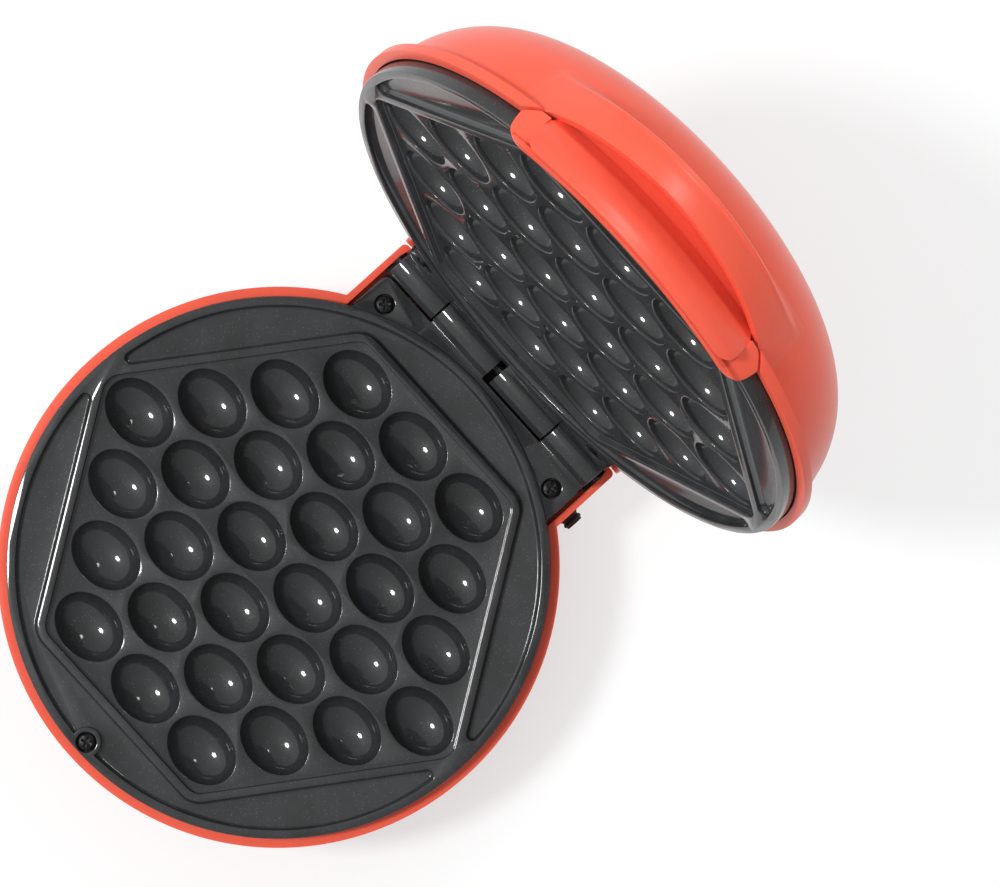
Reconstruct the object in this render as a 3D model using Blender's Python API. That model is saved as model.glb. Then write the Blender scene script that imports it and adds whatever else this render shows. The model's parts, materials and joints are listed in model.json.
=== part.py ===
"""Bubble waffle maker, lid open: two cast egg-cavity plates on an interleaved hinge, in domed shells.

Lengths are metres, +Z is up and the appliance faces -Y. Pieces are modelled in the plates' frame. Its
origin is the plates' centre on the parting plane, +Y runs to the hinge, and a depth counts from the
parting plane into the half that the piece belongs to. What both halves hold is made once, for the base,
and turned over about Y for the lid. The lid's pieces are made closed, and their parent turns them open.
"""

import math

import bmesh
import bpy
from mathutils import Matrix, Vector

# Egg pattern, which sets the size of the whole appliance
EGG_ROWS = (3, 4, 5, 6, 5, 4, 3)
EGG_PITCH_ACROSS = 0.0308
EGG_PITCH_ALONG = 0.0222
EGG_LENGTH = 0.0284
EGG_WIDTH = 0.0220
EGG_DEPTH = 0.0092

# Cooking field, ridge and overflow channels of a plate
FIELD_END_MARGIN = 0.0038
FIELD_SIDE_MARGIN = 0.0019
FIELD_CORNER_SHARE = 0.72
FIELD_DEPTH = 0.0027
FIELD_CORNER_RADIUS = 0.0070
RIDGE_WIDTH = 0.0030
CHANNEL_DEPTH = 0.0026
CHANNEL_TIP_GAP = 0.0180
CHANNEL_TIP_RADIUS = 0.0013
BEAD_WIDTH = 0.0032

# Plate casting
PLATE_EDGE = 0.0050
PLATE_GAP = 0.0005
PLATE_ROUNDING = 0.0010
RIM_DEPTH = 0.0088
BODY_INSET = 0.0040
PLATE_DEPTH = 0.0136
PAD_DROP = 0.0004
PAD_HALF_WIDTH = 0.0538
PAD_CORNER = 0.0030

# Hinge
HINGE_REACH = 0.0095
OPEN_DEGREES = 102.0
KNUCKLE_RADIUS = 0.0065
KNUCKLE_CLEARANCE = 0.0007
KNUCKLE_SIDE_GAP = 0.0003
KNUCKLE_MIDDLE_GAP = 0.0015
KNUCKLE_SPLIT = 0.0300
KNUCKLE_END = 0.0534
WEB_DEPTH = 0.0068
PIN_RADIUS = 0.0024
PIN_CLEARANCE = 0.0003
PIN_HEAD_RADIUS = 0.0034
PIN_HEAD_THICKNESS = 0.0012
RELIEF_DEPTH = 0.0080
RELIEF_FORWARD = 0.0008
RELIEF_SIDE_GAP = 0.0012
GUARD_THICKNESS = 0.0012
GUARD_CLEARANCE = 0.0003
GUARD_FORWARD = 0.0065

# Screws that hold the plates
SCREW_FRONT_INSET = 0.0045
SCREW_SIDE_INSET = 0.0078
SCREW_BACK_SETBACK = 0.0155
SCREW_HEAD_RADIUS = 0.0032
SCREW_HEAD_HEIGHT = 0.0017
SCREW_CROWN_SHARE = 0.75
SCREW_SHANK_RADIUS = 0.0015
SCREW_LENGTH = 0.0150
SCREW_CLEARANCE = 0.0003
SCREW_SEAT_RADIUS = 0.0038
SCREW_COLLAR_RADIUS = 0.0055
SCREW_SEAT_DEPTH = 0.0024
SCREW_SLOT_WIDTH = 0.0007
SCREW_SLOT_LENGTH = 0.0038
SCREW_SLOT_DEPTH = 0.0009
POST_RADIUS = 0.0031
POST_GAP = 0.0003
POST_LENGTH = 0.0220
RIB_WIDTH = 0.0024
RIB_LENGTH = 0.0085
RIB_SETBACK = 0.0002
RIB_REACH = 0.0140

# Shells
WALL = 0.0025
SHELL_CLEARANCE = 0.0005
LIP_WIDTH = 0.0035
LIP_DEPTH = 0.0060
LIP_HEIGHT = 0.0035
LIP_ROUNDING = 0.0009
LIP_STEP = 0.0040
BOX_CLEARANCE = 0.0019
BOX_OVERHANG = 0.0060
BOX_CORNER = 0.0020
BOX_INSET_SHARE = 0.35

# Lid dome
LID_HEIGHT = 0.0550
DOME_ORIGIN = 0.0041
DOME_RISE_POWER = 2.4
DOME_SIDE_POWER = 4.0
DOME_RISE_SHARES = (0.34, 0.54, 0.72, 0.86, 0.95, 0.99)
BOX_FADE_START_SHARE = 0.34
BOX_FADE_END_SHARE = 0.90

# Base bowl
BASE_DEPTH = 0.0460
BOWL_STRAIGHT_DEPTH = 0.0340
BOWL_DRAFT = 0.0040
BOWL_ROUND = 0.0120
BOWL_ROUND_STEPS = 3
BOWL_FLANGE = 0.0040

# Handle at the front of the lid
HANDLE_HALF_ANGLE = 33.0
HANDLE_REACH = 0.0132
HANDLE_STEPS = 12
ARCH_START = 0.0100
ARCH_END = 0.0300
ARCH_THICKNESS = 0.0030
ARCH_FULLNESS = 0.6
ARCH_STEPS = 5
WINDOW_HEIGHTS = (0.0082, 0.0096, 0.0108, 0.0118, 0.0126, 0.0132, 0.0136)
WINDOW_HALF_ANGLES = (29.8, 28.6, 26.4, 22.5, 17.0, 10.0, 3.0)
HOLLOW_HEIGHTS = (0.0082, 0.0148, 0.0210)
HOLLOW_HALF_ANGLES = (19.8, 19.8, 15.0)
HOLLOW_BACK_INSET = 0.0060
TONGUE_CLEARANCE = 0.0005
TONGUE_THICKNESS = 0.0022
TONGUE_LEAN = 0.0066
TONGUE_HEIGHTS = (
    -0.0045, -0.0036, -0.0020, 0.0, 0.0030, 0.0065, 0.0085, 0.0098, 0.0108, 0.0116, 0.0122, 0.0140, 0.0200,
)
TONGUE_HALF_ANGLES = (22.6, 24.2, 25.3, 25.6, 25.7, 25.7, 25.5, 25.2, 24.3, 21.4, 19.2, 19.2, 14.3)
TONGUE_LEAN_SHARES = (0.0, 0.02, 0.06, 0.15, 0.31, 0.55, 0.69, 0.77, 0.83, 0.87, 0.90, 0.98, 1.0)
LIP_WALL_GAP = 0.0022
LIP_WALL_WIDTH = 0.0028
LIP_WALL_THIN = 0.0014
LIP_WALL_THICK_END = -0.0032
LIP_WALL_HEIGHTS = (-0.0047, -0.0042, -0.0032, -0.0018, 0.0, 0.0056, 0.0058, 0.0080, 0.0092)
LIP_WALL_HALF_ANGLES = (25.5, 27.7, 29.1, 30.1, 30.4, 30.4, 29.2, 29.2, 28.2)
LIP_WALL_CUT = 0.0010
LIP_WALL_CUT_HALF_ANGLE = 26.1

# Heating element, reflector and controls under a plate
ELEMENT_RADIUS = 0.0032
ELEMENT_MARGIN = 0.0185
ELEMENT_OPENING_DEGREES = 34.0
ELEMENT_LEAD = 0.0200
ELEMENT_BEND = 0.0064
ELEMENT_BEND_ALONG_SHARE = 0.7
ELEMENT_BEND_DOWN_SHARE = 0.3
ELEMENT_STEPS = 16
ELEMENT_ROUNDNESS = 1
SEAT_GAP = 0.0003
REFLECTOR_RADIUS = 0.0785
REFLECTOR_FLANGE = 0.0035
REFLECTOR_SLOPE = 0.0030
REFLECTOR_DROP = 0.0110
REFLECTOR_SHEET = 0.0007
REFLECTOR_HOLE = 0.0050
THERMOSTAT_RADIUS = 0.0080
THERMOSTAT_HEIGHT = 0.0050
THERMOSTAT_CAP_SHARE = 0.72
THERMOSTAT_BACK = -0.0120
FUSE_RADIUS = 0.0022
FUSE_LENGTH = 0.0140
FUSE_BACK = 0.0240
FUSE_LEAD_RADIUS = 0.0006
FUSE_LEAD_LENGTH = 0.0070
TERMINAL_WIDTH = 0.0320
TERMINAL_LENGTH = 0.0140
TERMINAL_HEIGHT_SHARE = 0.52
TERMINAL_SETBACK = 0.0100
TERMINAL_BORE = 0.0022
TERMINAL_WAYS = 3

# Bottom cover, feet and cord gland
COVER_THICKNESS = 0.0025
COVER_CLEARANCE = 0.0004
COVER_SCREWS = ((0.0680, -0.0300), (0.0180, 0.0950))
COVER_POST_LENGTH = 0.0150
COVER_RIB_REACH = 0.0280
COVER_SCREW_LENGTH = 0.0120
VENT_LENGTH = 0.0300
VENT_WIDTH = 0.0030
VENT_PITCH = 0.0090
VENT_COUNT = 4
VENT_END_SHARE = 0.98
FOOT_FRONT = (0.0480, -0.0560)
FOOT_BACK = 0.0940
FOOT_SIDE_INSET = 0.0148
FOOT_RADIUS = 0.0070
FOOT_HEIGHT = 0.0040
FOOT_TAPER = 0.0012
FOOT_PEG_RADIUS = 0.0025
FOOT_PEG_LENGTH = 0.0050
GLAND_BACK = 0.0931
GLAND_DEPTH = 0.0310
GLAND_RADIUS = 0.0034
GLAND_FLANGE_RADIUS = 0.0045
GLAND_FLANGE = 0.0014
GLAND_REACH = 0.0076
GLAND_WALL_GAP = 0.0008
GLAND_RIBS = 3
GLAND_RIB_HEIGHT = 0.0006
GLAND_BORE = 0.0022
GLAND_BORE_DEPTH = 0.0030

# Signal lenses on the lid
LENS_SPREAD = 0.0090
LENS_FORWARD = 0.0450
LENS_RADIUS = 0.0034
LENS_STAND = 0.0009
LENS_CROWN_SHARE = 0.7
LENS_EDGE_SHARE = 0.5
LENS_SHOULDER_SHARE = 0.88
LENS_FLANGE = 0.0012

# Facets and where the whole thing stands
ARC_STEPS = 32
CORNER_STEPS = 2
ROUND_STEPS = 14
HOLE_STEPS = 8
SCREW_STEPS = 10
CHANNEL_STEPS = 18
REFLECTOR_STEPS = 24
FILLET_STEPS = 2
EGG_SIDES = 10
EGG_RINGS = 6
FLATNESS_DEGREES = 0.05
SMOOTH_DEGREES = 32.0
OVERRUN = 0.0020
WELD = 0.000002
FOOTPRINT_BEHIND_CENTRE = 0.0459

# Sizes that follow
FIELD_HALF_LENGTH = (max(EGG_ROWS) - 1) / 2 * EGG_PITCH_ACROSS + EGG_LENGTH / 2 + FIELD_END_MARGIN
FIELD_HALF_WIDTH = (len(EGG_ROWS) - 1) / 2 * EGG_PITCH_ALONG + EGG_WIDTH / 2 + FIELD_SIDE_MARGIN
FIELD_CORNER = (EGG_ROWS[0] - 1) / 2 * EGG_PITCH_ACROSS + FIELD_CORNER_SHARE * EGG_LENGTH / 2
PLATE_RADIUS = FIELD_HALF_LENGTH + PLATE_EDGE
PLATE_TOP = PLATE_GAP / 2
HINGE_BACK = PLATE_RADIUS + HINGE_REACH
PAD_BACK = HINGE_BACK - KNUCKLE_RADIUS - KNUCKLE_CLEARANCE
OPENING_RADIUS = PLATE_RADIUS + SHELL_CLEARANCE
SHELL_RADIUS = OPENING_RADIUS + LIP_WIDTH
DOME_RADIUS = SHELL_RADIUS - LIP_STEP
LIP_END = LIP_DEPTH + LIP_HEIGHT
WALL_START = LIP_END + LIP_ROUNDING
DOME_START_SHARE = (WALL_START - DOME_ORIGIN) / (LID_HEIGHT - DOME_ORIGIN)
BOX_HALF_WIDTH = PAD_HALF_WIDTH + BOX_CLEARANCE + WALL
BOX_BACK = HINGE_BACK + BOX_OVERHANG
SCREW_BACK_SPREAD = PAD_HALF_WIDTH - SCREW_SIDE_INSET
SCREW_PLACES = (
    (0.0, -(PLATE_RADIUS - SCREW_FRONT_INSET)),
    (-SCREW_BACK_SPREAD, HINGE_BACK - SCREW_BACK_SETBACK),
    (SCREW_BACK_SPREAD, HINGE_BACK - SCREW_BACK_SETBACK),
)
FOOT_PLACES = (FOOT_FRONT, (PAD_HALF_WIDTH - FOOT_SIDE_INSET, FOOT_BACK))
ELEMENT_RING = REFLECTOR_RADIUS - ELEMENT_MARGIN
TERMINAL_BACK = ELEMENT_RING + TERMINAL_SETBACK
SEAT_DEPTH = PLATE_DEPTH + SEAT_GAP
PARTING_HEIGHT = BASE_DEPTH + FOOT_HEIGHT
TERMINAL_HEIGHT = (BASE_DEPTH - SEAT_DEPTH - REFLECTOR_DROP) * TERMINAL_HEIGHT_SHARE


def shade(red, green, blue):
    """A colour given in 8-bit sRGB, as the linear one that a shader takes."""
    return tuple((value / 255) ** 2.2 for value in (red, green, blue)) + (1.0,)


FINISHES = {
    "coral_plastic": (shade(243, 104, 88), 0.38, 0.0),
    "nonstick_coating": (shade(66, 67, 68), 0.34, 0.25),
    "black_steel": (shade(34, 34, 35), 0.40, 0.6),
    "bright_steel": (shade(176, 178, 181), 0.28, 1.0),
    "reflector_sheet": (shade(200, 201, 203), 0.30, 1.0),
    "black_rubber": (shade(28, 28, 29), 0.75, 0.0),
    "grey_plastic": (shade(52, 52, 54), 0.55, 0.0),
    "ceramic": (shade(228, 224, 214), 0.50, 0.0),
    "red_lens": (shade(190, 24, 20), 0.15, 0.0),
    "green_lens": (shade(28, 150, 60), 0.15, 0.0),
}


def clear_scene():
    for obj in list(bpy.data.objects):
        bpy.data.objects.remove(obj, do_unlink=True)


def finish(name):
    """A material of its own for a piece, in one of the listed finishes."""
    colour, roughness, metallic = FINISHES[name]
    material = bpy.data.materials.new(name)
    material.use_nodes = True
    shader = material.node_tree.nodes["Principled BSDF"]
    shader.inputs["Base Color"].default_value = colour
    shader.inputs["Roughness"].default_value = roughness
    shader.inputs["Metallic"].default_value = metallic
    material.diffuse_color = colour
    return material


def add_mesh(name, bm):
    """A mesh object in the plates' frame, made from a bmesh whose faces are turned outwards."""
    bmesh.ops.recalc_face_normals(bm, faces=bm.faces)
    if bm.calc_volume(signed=True) < 0:
        bmesh.ops.reverse_faces(bm, faces=bm.faces)
    mesh = bpy.data.meshes.new(name)
    bm.to_mesh(mesh)
    bm.free()
    obj = bpy.data.objects.new(name, mesh)
    bpy.context.scene.collection.objects.link(obj)
    return obj


def place(obj, parent, name=None, finish_name=None, flipped=False):
    """Names a piece, gives it its finish and hangs it on its parent, turned over for the lid's half."""
    if name:
        obj.name = name
        obj.data.name = name
    if finish_name:
        obj.data.materials.clear()
        obj.data.materials.append(finish(finish_name))
    if obj.type == "MESH":
        obj.data.shade_smooth()
        obj.data.set_sharp_from_angle(angle=math.radians(SMOOTH_DEGREES))
    obj.parent = parent
    obj.location = -Vector(parent.get("anchor", (0.0, 0.0, 0.0)))
    if flipped:
        obj.rotation_euler.y = math.pi
    return obj


def copy_of(obj, name):
    """Another object that shares the mesh or curve of a piece."""
    twin = bpy.data.objects.new(name, obj.data)
    bpy.context.scene.collection.objects.link(twin)
    return twin


def combine(target, tool, operation):
    """Cuts the tool from the target, or joins it on, and leaves the result as the target's own mesh."""
    modifier = target.modifiers.new(tool.name, "BOOLEAN")
    modifier.operation = operation
    modifier.solver = "EXACT"
    modifier.object = tool
    bpy.context.view_layer.update()
    graph = bpy.context.evaluated_depsgraph_get()
    result = bpy.data.meshes.new_from_object(target.evaluated_get(graph))
    target.modifiers.clear()
    target.data = result
    bpy.data.objects.remove(tool, do_unlink=True)
    return target


def merge_level_faces(bm):
    """Joins neighbouring faces that lie in one plane, so that a flat end is one face."""
    bmesh.ops.dissolve_limit(
        bm, angle_limit=math.radians(FLATNESS_DEGREES), use_dissolve_boundaries=False,
        verts=bm.verts, edges=bm.edges,
    )


def loft(name, rings, closed=False):
    """A solid extruded through rings of as many points each, capped or closed back into its first ring."""
    bm = bmesh.new()
    verts = [bm.verts.new(point) for point in rings[0]]
    first = edges = [bm.edges.new(pair) for pair in zip(verts, verts[1:] + verts[:1])]
    for ring in rings[1:] + (rings[:1] if closed else []):
        grown = bmesh.ops.extrude_edge_only(bm, edges=edges)["geom"]
        edges = [item for item in grown if isinstance(item, bmesh.types.BMEdge)]
        verts = [item for item in grown if isinstance(item, bmesh.types.BMVert)]
        for vert, point in zip(verts, ring):
            vert.co = point
    if closed:
        bmesh.ops.remove_doubles(bm, verts=bm.verts, dist=WELD)
    else:
        bmesh.ops.contextual_create(bm, geom=first)
        bmesh.ops.contextual_create(bm, geom=edges)
    bmesh.ops.connect_verts_nonplanar(bm, angle_limit=math.radians(FLATNESS_DEGREES), faces=bm.faces)
    return add_mesh(name, bm)


def level(points, z):
    return [(x, y, z) for x, y in points]


def slab(name, points, low, high):
    """A flat outline raised from one height to another."""
    return loft(name, [level(points, low), level(points, high)])


def circle(radius, centre=(0.0, 0.0), steps=ROUND_STEPS):
    turns = [2 * math.pi * step / steps for step in range(steps)]
    return [(centre[0] + radius * math.cos(turn), centre[1] + radius * math.sin(turn)) for turn in turns]


def turned(name, profile, steps=ROUND_STEPS):
    """A solid of revolution about Z from (radius, height) points that run from the axis and back to it."""
    bm = bmesh.new()
    verts = [bm.verts.new((radius, 0.0, height)) for radius, height in profile]
    edges = [bm.edges.new(pair) for pair in zip(verts, verts[1:])]
    bmesh.ops.spin(
        bm, geom=verts + edges, cent=(0, 0, 0), axis=(0, 0, 1), dvec=(0, 0, 0),
        angle=2 * math.pi, steps=steps, use_merge=True, use_duplicate=False,
    )
    bmesh.ops.remove_doubles(bm, verts=bm.verts, dist=WELD)
    merge_level_faces(bm)
    return add_mesh(name, bm)


def bar(name, start, end, radius, steps=ROUND_STEPS):
    """A round bar between two points."""
    run = Vector(end) - Vector(start)
    bm = bmesh.new()
    bmesh.ops.create_cone(
        bm, cap_ends=True, segments=steps, radius1=radius, radius2=radius, depth=run.length,
        matrix=Matrix.Translation((Vector(start) + Vector(end)) / 2)
        @ Vector((0, 0, 1)).rotation_difference(run).to_matrix().to_4x4(),
    )
    return add_mesh(name, bm)


def block(name, low, high):
    size = Vector(high) - Vector(low)
    middle = (Vector(low) + Vector(high)) / 2
    bm = bmesh.new()
    bmesh.ops.create_cube(bm, size=1.0, matrix=Matrix.Translation(middle) @ Matrix.Diagonal((*size, 1.0)))
    return add_mesh(name, bm)


def moved(obj, offset):
    obj.data.transform(Matrix.Translation(offset))
    return obj


def rounded(corners, radii):
    """A polygon with an arc of its own radius at each corner; a radius of zero leaves the corner."""
    points = []
    for index, (corner, radius) in enumerate(zip(corners, radii)):
        here = Vector(corner)
        to_last = (Vector(corners[index - 1]) - here).normalized()
        to_next = (Vector(corners[(index + 1) % len(corners)]) - here).normalized()
        if not radius:
            points.append(tuple(here))
            continue
        half = to_last.angle(to_next) / 2
        centre = here + (to_last + to_next).normalized() * radius / math.sin(half)
        start = here + to_last * radius / math.tan(half) - centre
        end = here + to_next * radius / math.tan(half) - centre
        for step in range(FILLET_STEPS + 1):
            arm = start.lerp(end, step / FILLET_STEPS).normalized() * radius
            points.append(tuple(centre + arm))
    return points


def field_hexagon(margin):
    """Corners of the cooking field's long hexagon, each side moved out by a margin."""
    side = Vector((FIELD_HALF_LENGTH - FIELD_CORNER, FIELD_HALF_WIDTH))
    end_shift = margin * side.length / side.y
    corner_shift = margin * (side.length - side.x) / side.y
    length, corner = FIELD_HALF_LENGTH + end_shift, FIELD_CORNER + corner_shift
    width = FIELD_HALF_WIDTH + margin
    half = [(length, 0.0), (corner, width), (-corner, width)]
    return half + [(-x, -y) for x, y in half]


def plan_outline(radius, half_width, back, corner=BOX_CORNER, fade=0.0):
    """A circle joined to the box round the hinge behind it; fade draws the box back to the circle."""
    turn = math.acos(half_width / radius)
    turns = [turn - (math.pi + 2 * turn) * step / ARC_STEPS for step in range(ARC_STEPS + 1)]
    points = [(radius * math.cos(angle), radius * math.sin(angle)) for angle in turns]
    for side, first in ((-1, math.pi), (1, math.pi / 2)):
        for step in range(CORNER_STEPS + 1):
            angle = first - math.pi / 2 * step / CORNER_STEPS
            x = side * (half_width - corner) + corner * math.cos(angle)
            points.append((x, back - corner + corner * math.sin(angle)))
    shares = [1 + (radius / math.hypot(x, y) - 1) * fade for x, y in points]
    return [(x * share, y * share) for (x, y), share in zip(points, shares)]


def plate_outline(inset):
    corner = max(PAD_CORNER - inset, 0.0)
    return plan_outline(PLATE_RADIUS - inset, PAD_HALF_WIDTH - inset, PAD_BACK - inset, corner)


def channel_outline():
    """The overflow channel on the front side, from tip to tip round the ridge and back along the bead."""
    ridge = field_hexagon(RIDGE_WIDTH)
    (length, _), (corner, width) = ridge[0], ridge[1]
    tip = CHANNEL_TIP_GAP / 2
    tip_inside = length - (length - corner) * tip / width
    radius = PLATE_RADIUS - BEAD_WIDTH
    tip_turn = math.asin(tip / radius)
    sweep = math.pi - 2 * tip_turn
    turns = [tip_turn + sweep * step / CHANNEL_STEPS for step in range(CHANNEL_STEPS + 1)]
    arc = [(-radius * math.cos(turn), -radius * math.sin(turn)) for turn in turns]
    corners = [(tip_inside, -tip), (corner, -width), (-corner, -width), (-tip_inside, -tip)] + arc
    round_corner = FIELD_CORNER_RADIUS + RIDGE_WIDTH
    radii = [CHANNEL_TIP_RADIUS, round_corner, round_corner, CHANNEL_TIP_RADIUS]
    radii += [CHANNEL_TIP_RADIUS] + [0.0] * (len(arc) - 2) + [CHANNEL_TIP_RADIUS]
    return rounded(corners, radii)


def egg_places():
    for row, count in enumerate(EGG_ROWS):
        y = (row - (len(EGG_ROWS) - 1) / 2) * EGG_PITCH_ALONG
        for place_in_row in range(count):
            yield (place_in_row - (count - 1) / 2) * EGG_PITCH_ACROSS, y


def egg_cutters():
    """One egg-shaped cutter for each cavity, widest at the field's floor."""
    bm = bmesh.new()
    floor = PLATE_TOP + FIELD_DEPTH
    shape = Matrix.Diagonal((EGG_LENGTH / 2, EGG_WIDTH / 2, EGG_DEPTH, 1.0))
    for x, y in egg_places():
        bmesh.ops.create_uvsphere(
            bm, u_segments=EGG_SIDES, v_segments=EGG_RINGS, radius=1.0,
            matrix=Matrix.Translation((x, y, -floor)) @ shape,
        )
    return add_mesh("eggs", bm)


def knuckle_spans():
    """Where the base plate's two knuckles lie; the lid's, turned over, fill the other two places."""
    return (
        (-KNUCKLE_SPLIT + KNUCKLE_SIDE_GAP, -KNUCKLE_MIDDLE_GAP),
        (KNUCKLE_SPLIT + KNUCKLE_SIDE_GAP, KNUCKLE_END),
    )


def make_plate():
    """The cast plate: rim bead, channels, ridge, field with its egg cavities, hinge pad and knuckles."""
    top = PLATE_TOP
    plate = loft("plate", [
        level(plate_outline(PLATE_ROUNDING), -top),
        level(plate_outline(0.0), -top - PLATE_ROUNDING),
        level(plate_outline(0.0), -RIM_DEPTH),
        level(plate_outline(BODY_INSET), -RIM_DEPTH),
        level(plate_outline(BODY_INSET), -PLATE_DEPTH),
    ])
    bow = [(x, y) for x, y in circle(PLATE_RADIUS, steps=ARC_STEPS) if y > 0 and abs(x) < PAD_HALF_WIDTH]
    pad = bow + [(-PAD_HALF_WIDTH - OVERRUN, bow[-1][1]), (-PAD_HALF_WIDTH - OVERRUN, PAD_BACK + OVERRUN)]
    pad += [(PAD_HALF_WIDTH + OVERRUN, PAD_BACK + OVERRUN), (PAD_HALF_WIDTH + OVERRUN, bow[0][1])]
    combine(plate, slab("pad", pad, -top - PAD_DROP, OVERRUN), "DIFFERENCE")

    web_front = PAD_BACK - KNUCKLE_RADIUS
    for low, high in knuckle_spans():
        web = block("web", (low, web_front, -WEB_DEPTH), (high, HINGE_BACK, -top - PAD_DROP))
        combine(plate, web, "UNION")
        knuckle = bar("knuckle", (low, HINGE_BACK, 0), (high, HINGE_BACK, 0), KNUCKLE_RADIUS)
        combine(plate, knuckle, "UNION")
    reach = KNUCKLE_END + OVERRUN
    bore = bar("bore", (-reach, HINGE_BACK, 0), (reach, HINGE_BACK, 0), PIN_RADIUS + PIN_CLEARANCE)
    combine(plate, bore, "DIFFERENCE")

    channel_floor = -top - CHANNEL_DEPTH
    front = slab("front", channel_outline(), channel_floor, OVERRUN)
    collar_low, collar_high = channel_floor - OVERRUN, 2 * OVERRUN
    collar = slab("collar", circle(SCREW_COLLAR_RADIUS, SCREW_PLACES[0]), collar_low, collar_high)
    combine(front, collar, "DIFFERENCE")
    back = slab("back", [(x, -y) for x, y in channel_outline()], channel_floor, OVERRUN)
    combine(plate, front, "DIFFERENCE")
    combine(plate, back, "DIFFERENCE")

    hexagon = rounded(field_hexagon(0.0), [FIELD_CORNER_RADIUS] * 6)
    combine(plate, slab("field", hexagon, -top - FIELD_DEPTH, OVERRUN), "DIFFERENCE")
    combine(plate, egg_cutters(), "DIFFERENCE")
    for x, y in SCREW_PLACES:
        seat = slab("seat", circle(SCREW_SEAT_RADIUS, (x, y)), -top - SCREW_SEAT_DEPTH, OVERRUN)
        combine(plate, seat, "DIFFERENCE")
        hole_radius = SCREW_SHANK_RADIUS + SCREW_CLEARANCE
        hole = slab("hole", circle(hole_radius, (x, y), steps=HOLE_STEPS), -PLATE_DEPTH - OVERRUN, OVERRUN)
        combine(plate, hole, "DIFFERENCE")
    return plate


def screw_mesh(length):
    """A pan-head screw that points down, its head's underside at the origin, with a cross recess."""
    head, rim = SCREW_HEAD_RADIUS, SCREW_HEAD_HEIGHT / 2
    shank = SCREW_SHANK_RADIUS
    screw = turned("screw", [
        (0.0, SCREW_HEAD_HEIGHT), (head * SCREW_CROWN_SHARE, SCREW_HEAD_HEIGHT), (head, rim), (head, 0.0),
        (shank, 0.0), (shank, -length), (0.0, -length),
    ], steps=SCREW_STEPS)
    low, high = SCREW_HEAD_HEIGHT - SCREW_SLOT_DEPTH, SCREW_HEAD_HEIGHT + OVERRUN
    half, wide = SCREW_SLOT_LENGTH / 2, SCREW_SLOT_WIDTH / 2
    cross = block("cross", (-half, -wide, low), (half, wide, high))
    combine(cross, block("bar", (-wide, -half, low), (wide, half, high)), "UNION")
    return combine(screw, cross, "DIFFERENCE")


def make_plate_screws():
    """The base plate's three screws, their heads in the plate's seats."""
    seat = PLATE_TOP + SCREW_SEAT_DEPTH - SCREW_CLEARANCE
    screws = []
    for x, y in SCREW_PLACES:
        screws.append(moved(screw_mesh(SCREW_LENGTH), (x, y, -seat)))
    return screws


def make_pin():
    """The hinge pin with its two riveted heads, along the hinge axis."""
    end = KNUCKLE_END + PIN_CLEARANCE
    far = end + PIN_HEAD_THICKNESS
    pin = turned("pin", [
        (0.0, -far), (PIN_HEAD_RADIUS, -far), (PIN_HEAD_RADIUS, -end), (PIN_RADIUS, -end),
        (PIN_RADIUS, end), (PIN_HEAD_RADIUS, end), (PIN_HEAD_RADIUS, far), (0.0, far),
    ])
    pin.data.transform(Matrix.Translation((0, HINGE_BACK, 0)) @ Matrix.Rotation(math.pi / 2, 4, "Y"))
    return pin


def make_element():
    """The tubular heating element: an open ring pressed under the plate, its two leads turned down."""
    depth = SEAT_DEPTH + ELEMENT_RADIUS
    half = math.radians(ELEMENT_OPENING_DEGREES / 2)
    points = []
    for step in range(ELEMENT_STEPS + 1):
        turn = math.pi / 2 + half + (2 * math.pi - 2 * half) * step / ELEMENT_STEPS
        points.append((ELEMENT_RING * math.cos(turn), ELEMENT_RING * math.sin(turn), -depth))
    along_corner = ELEMENT_BEND * ELEMENT_BEND_ALONG_SHARE
    down_corner = ELEMENT_BEND * ELEMENT_BEND_DOWN_SHARE
    for end, run in ((0, -1), (-1, 1)):
        start = Vector(points[end])
        along = Vector((-start.y, start.x, 0.0)).normalized() * run
        corner = start + along * along_corner - Vector((0, 0, down_corner))
        lead = start + along * ELEMENT_BEND - Vector((0, 0, ELEMENT_BEND))
        tail = Vector((lead.x, lead.y, start.z - ELEMENT_LEAD))
        points = [tail, lead, corner] + points if end == 0 else points + [corner, lead, tail]
    curve = bpy.data.curves.new("element", "CURVE")
    curve.dimensions = "3D"
    curve.bevel_depth = ELEMENT_RADIUS
    curve.bevel_resolution = ELEMENT_ROUNDNESS
    curve.use_fill_caps = True
    spline = curve.splines.new("POLY")
    spline.points.add(len(points) - 1)
    for point, place_in_space in zip(spline.points, points):
        point.co = (*place_in_space, 1.0)
    obj = bpy.data.objects.new("element", curve)
    bpy.context.scene.collection.objects.link(obj)
    return obj, (points[0], points[-1])


def make_reflector(leads):
    """The sheet pan that throws the heat back at the plate, with a hole for each lead of the element."""
    outer, inner = REFLECTOR_RADIUS, REFLECTOR_RADIUS - REFLECTOR_FLANGE
    floor_radius = inner - REFLECTOR_SLOPE
    top, floor = -SEAT_DEPTH, -SEAT_DEPTH - REFLECTOR_DROP
    sheet = REFLECTOR_SHEET
    pan = turned("reflector", [
        (0.0, floor), (floor_radius - sheet, floor), (inner - sheet, top), (outer, top),
        (outer, top - sheet), (inner, top - sheet), (floor_radius, floor - sheet), (0.0, floor - sheet),
    ], steps=REFLECTOR_STEPS)
    for x, y, _ in leads:
        outline = circle(REFLECTOR_HOLE, (x, y), steps=HOLE_STEPS)
        combine(pan, slab("hole", outline, floor - sheet - OVERRUN, floor + OVERRUN), "DIFFERENCE")
    return pan


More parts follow.
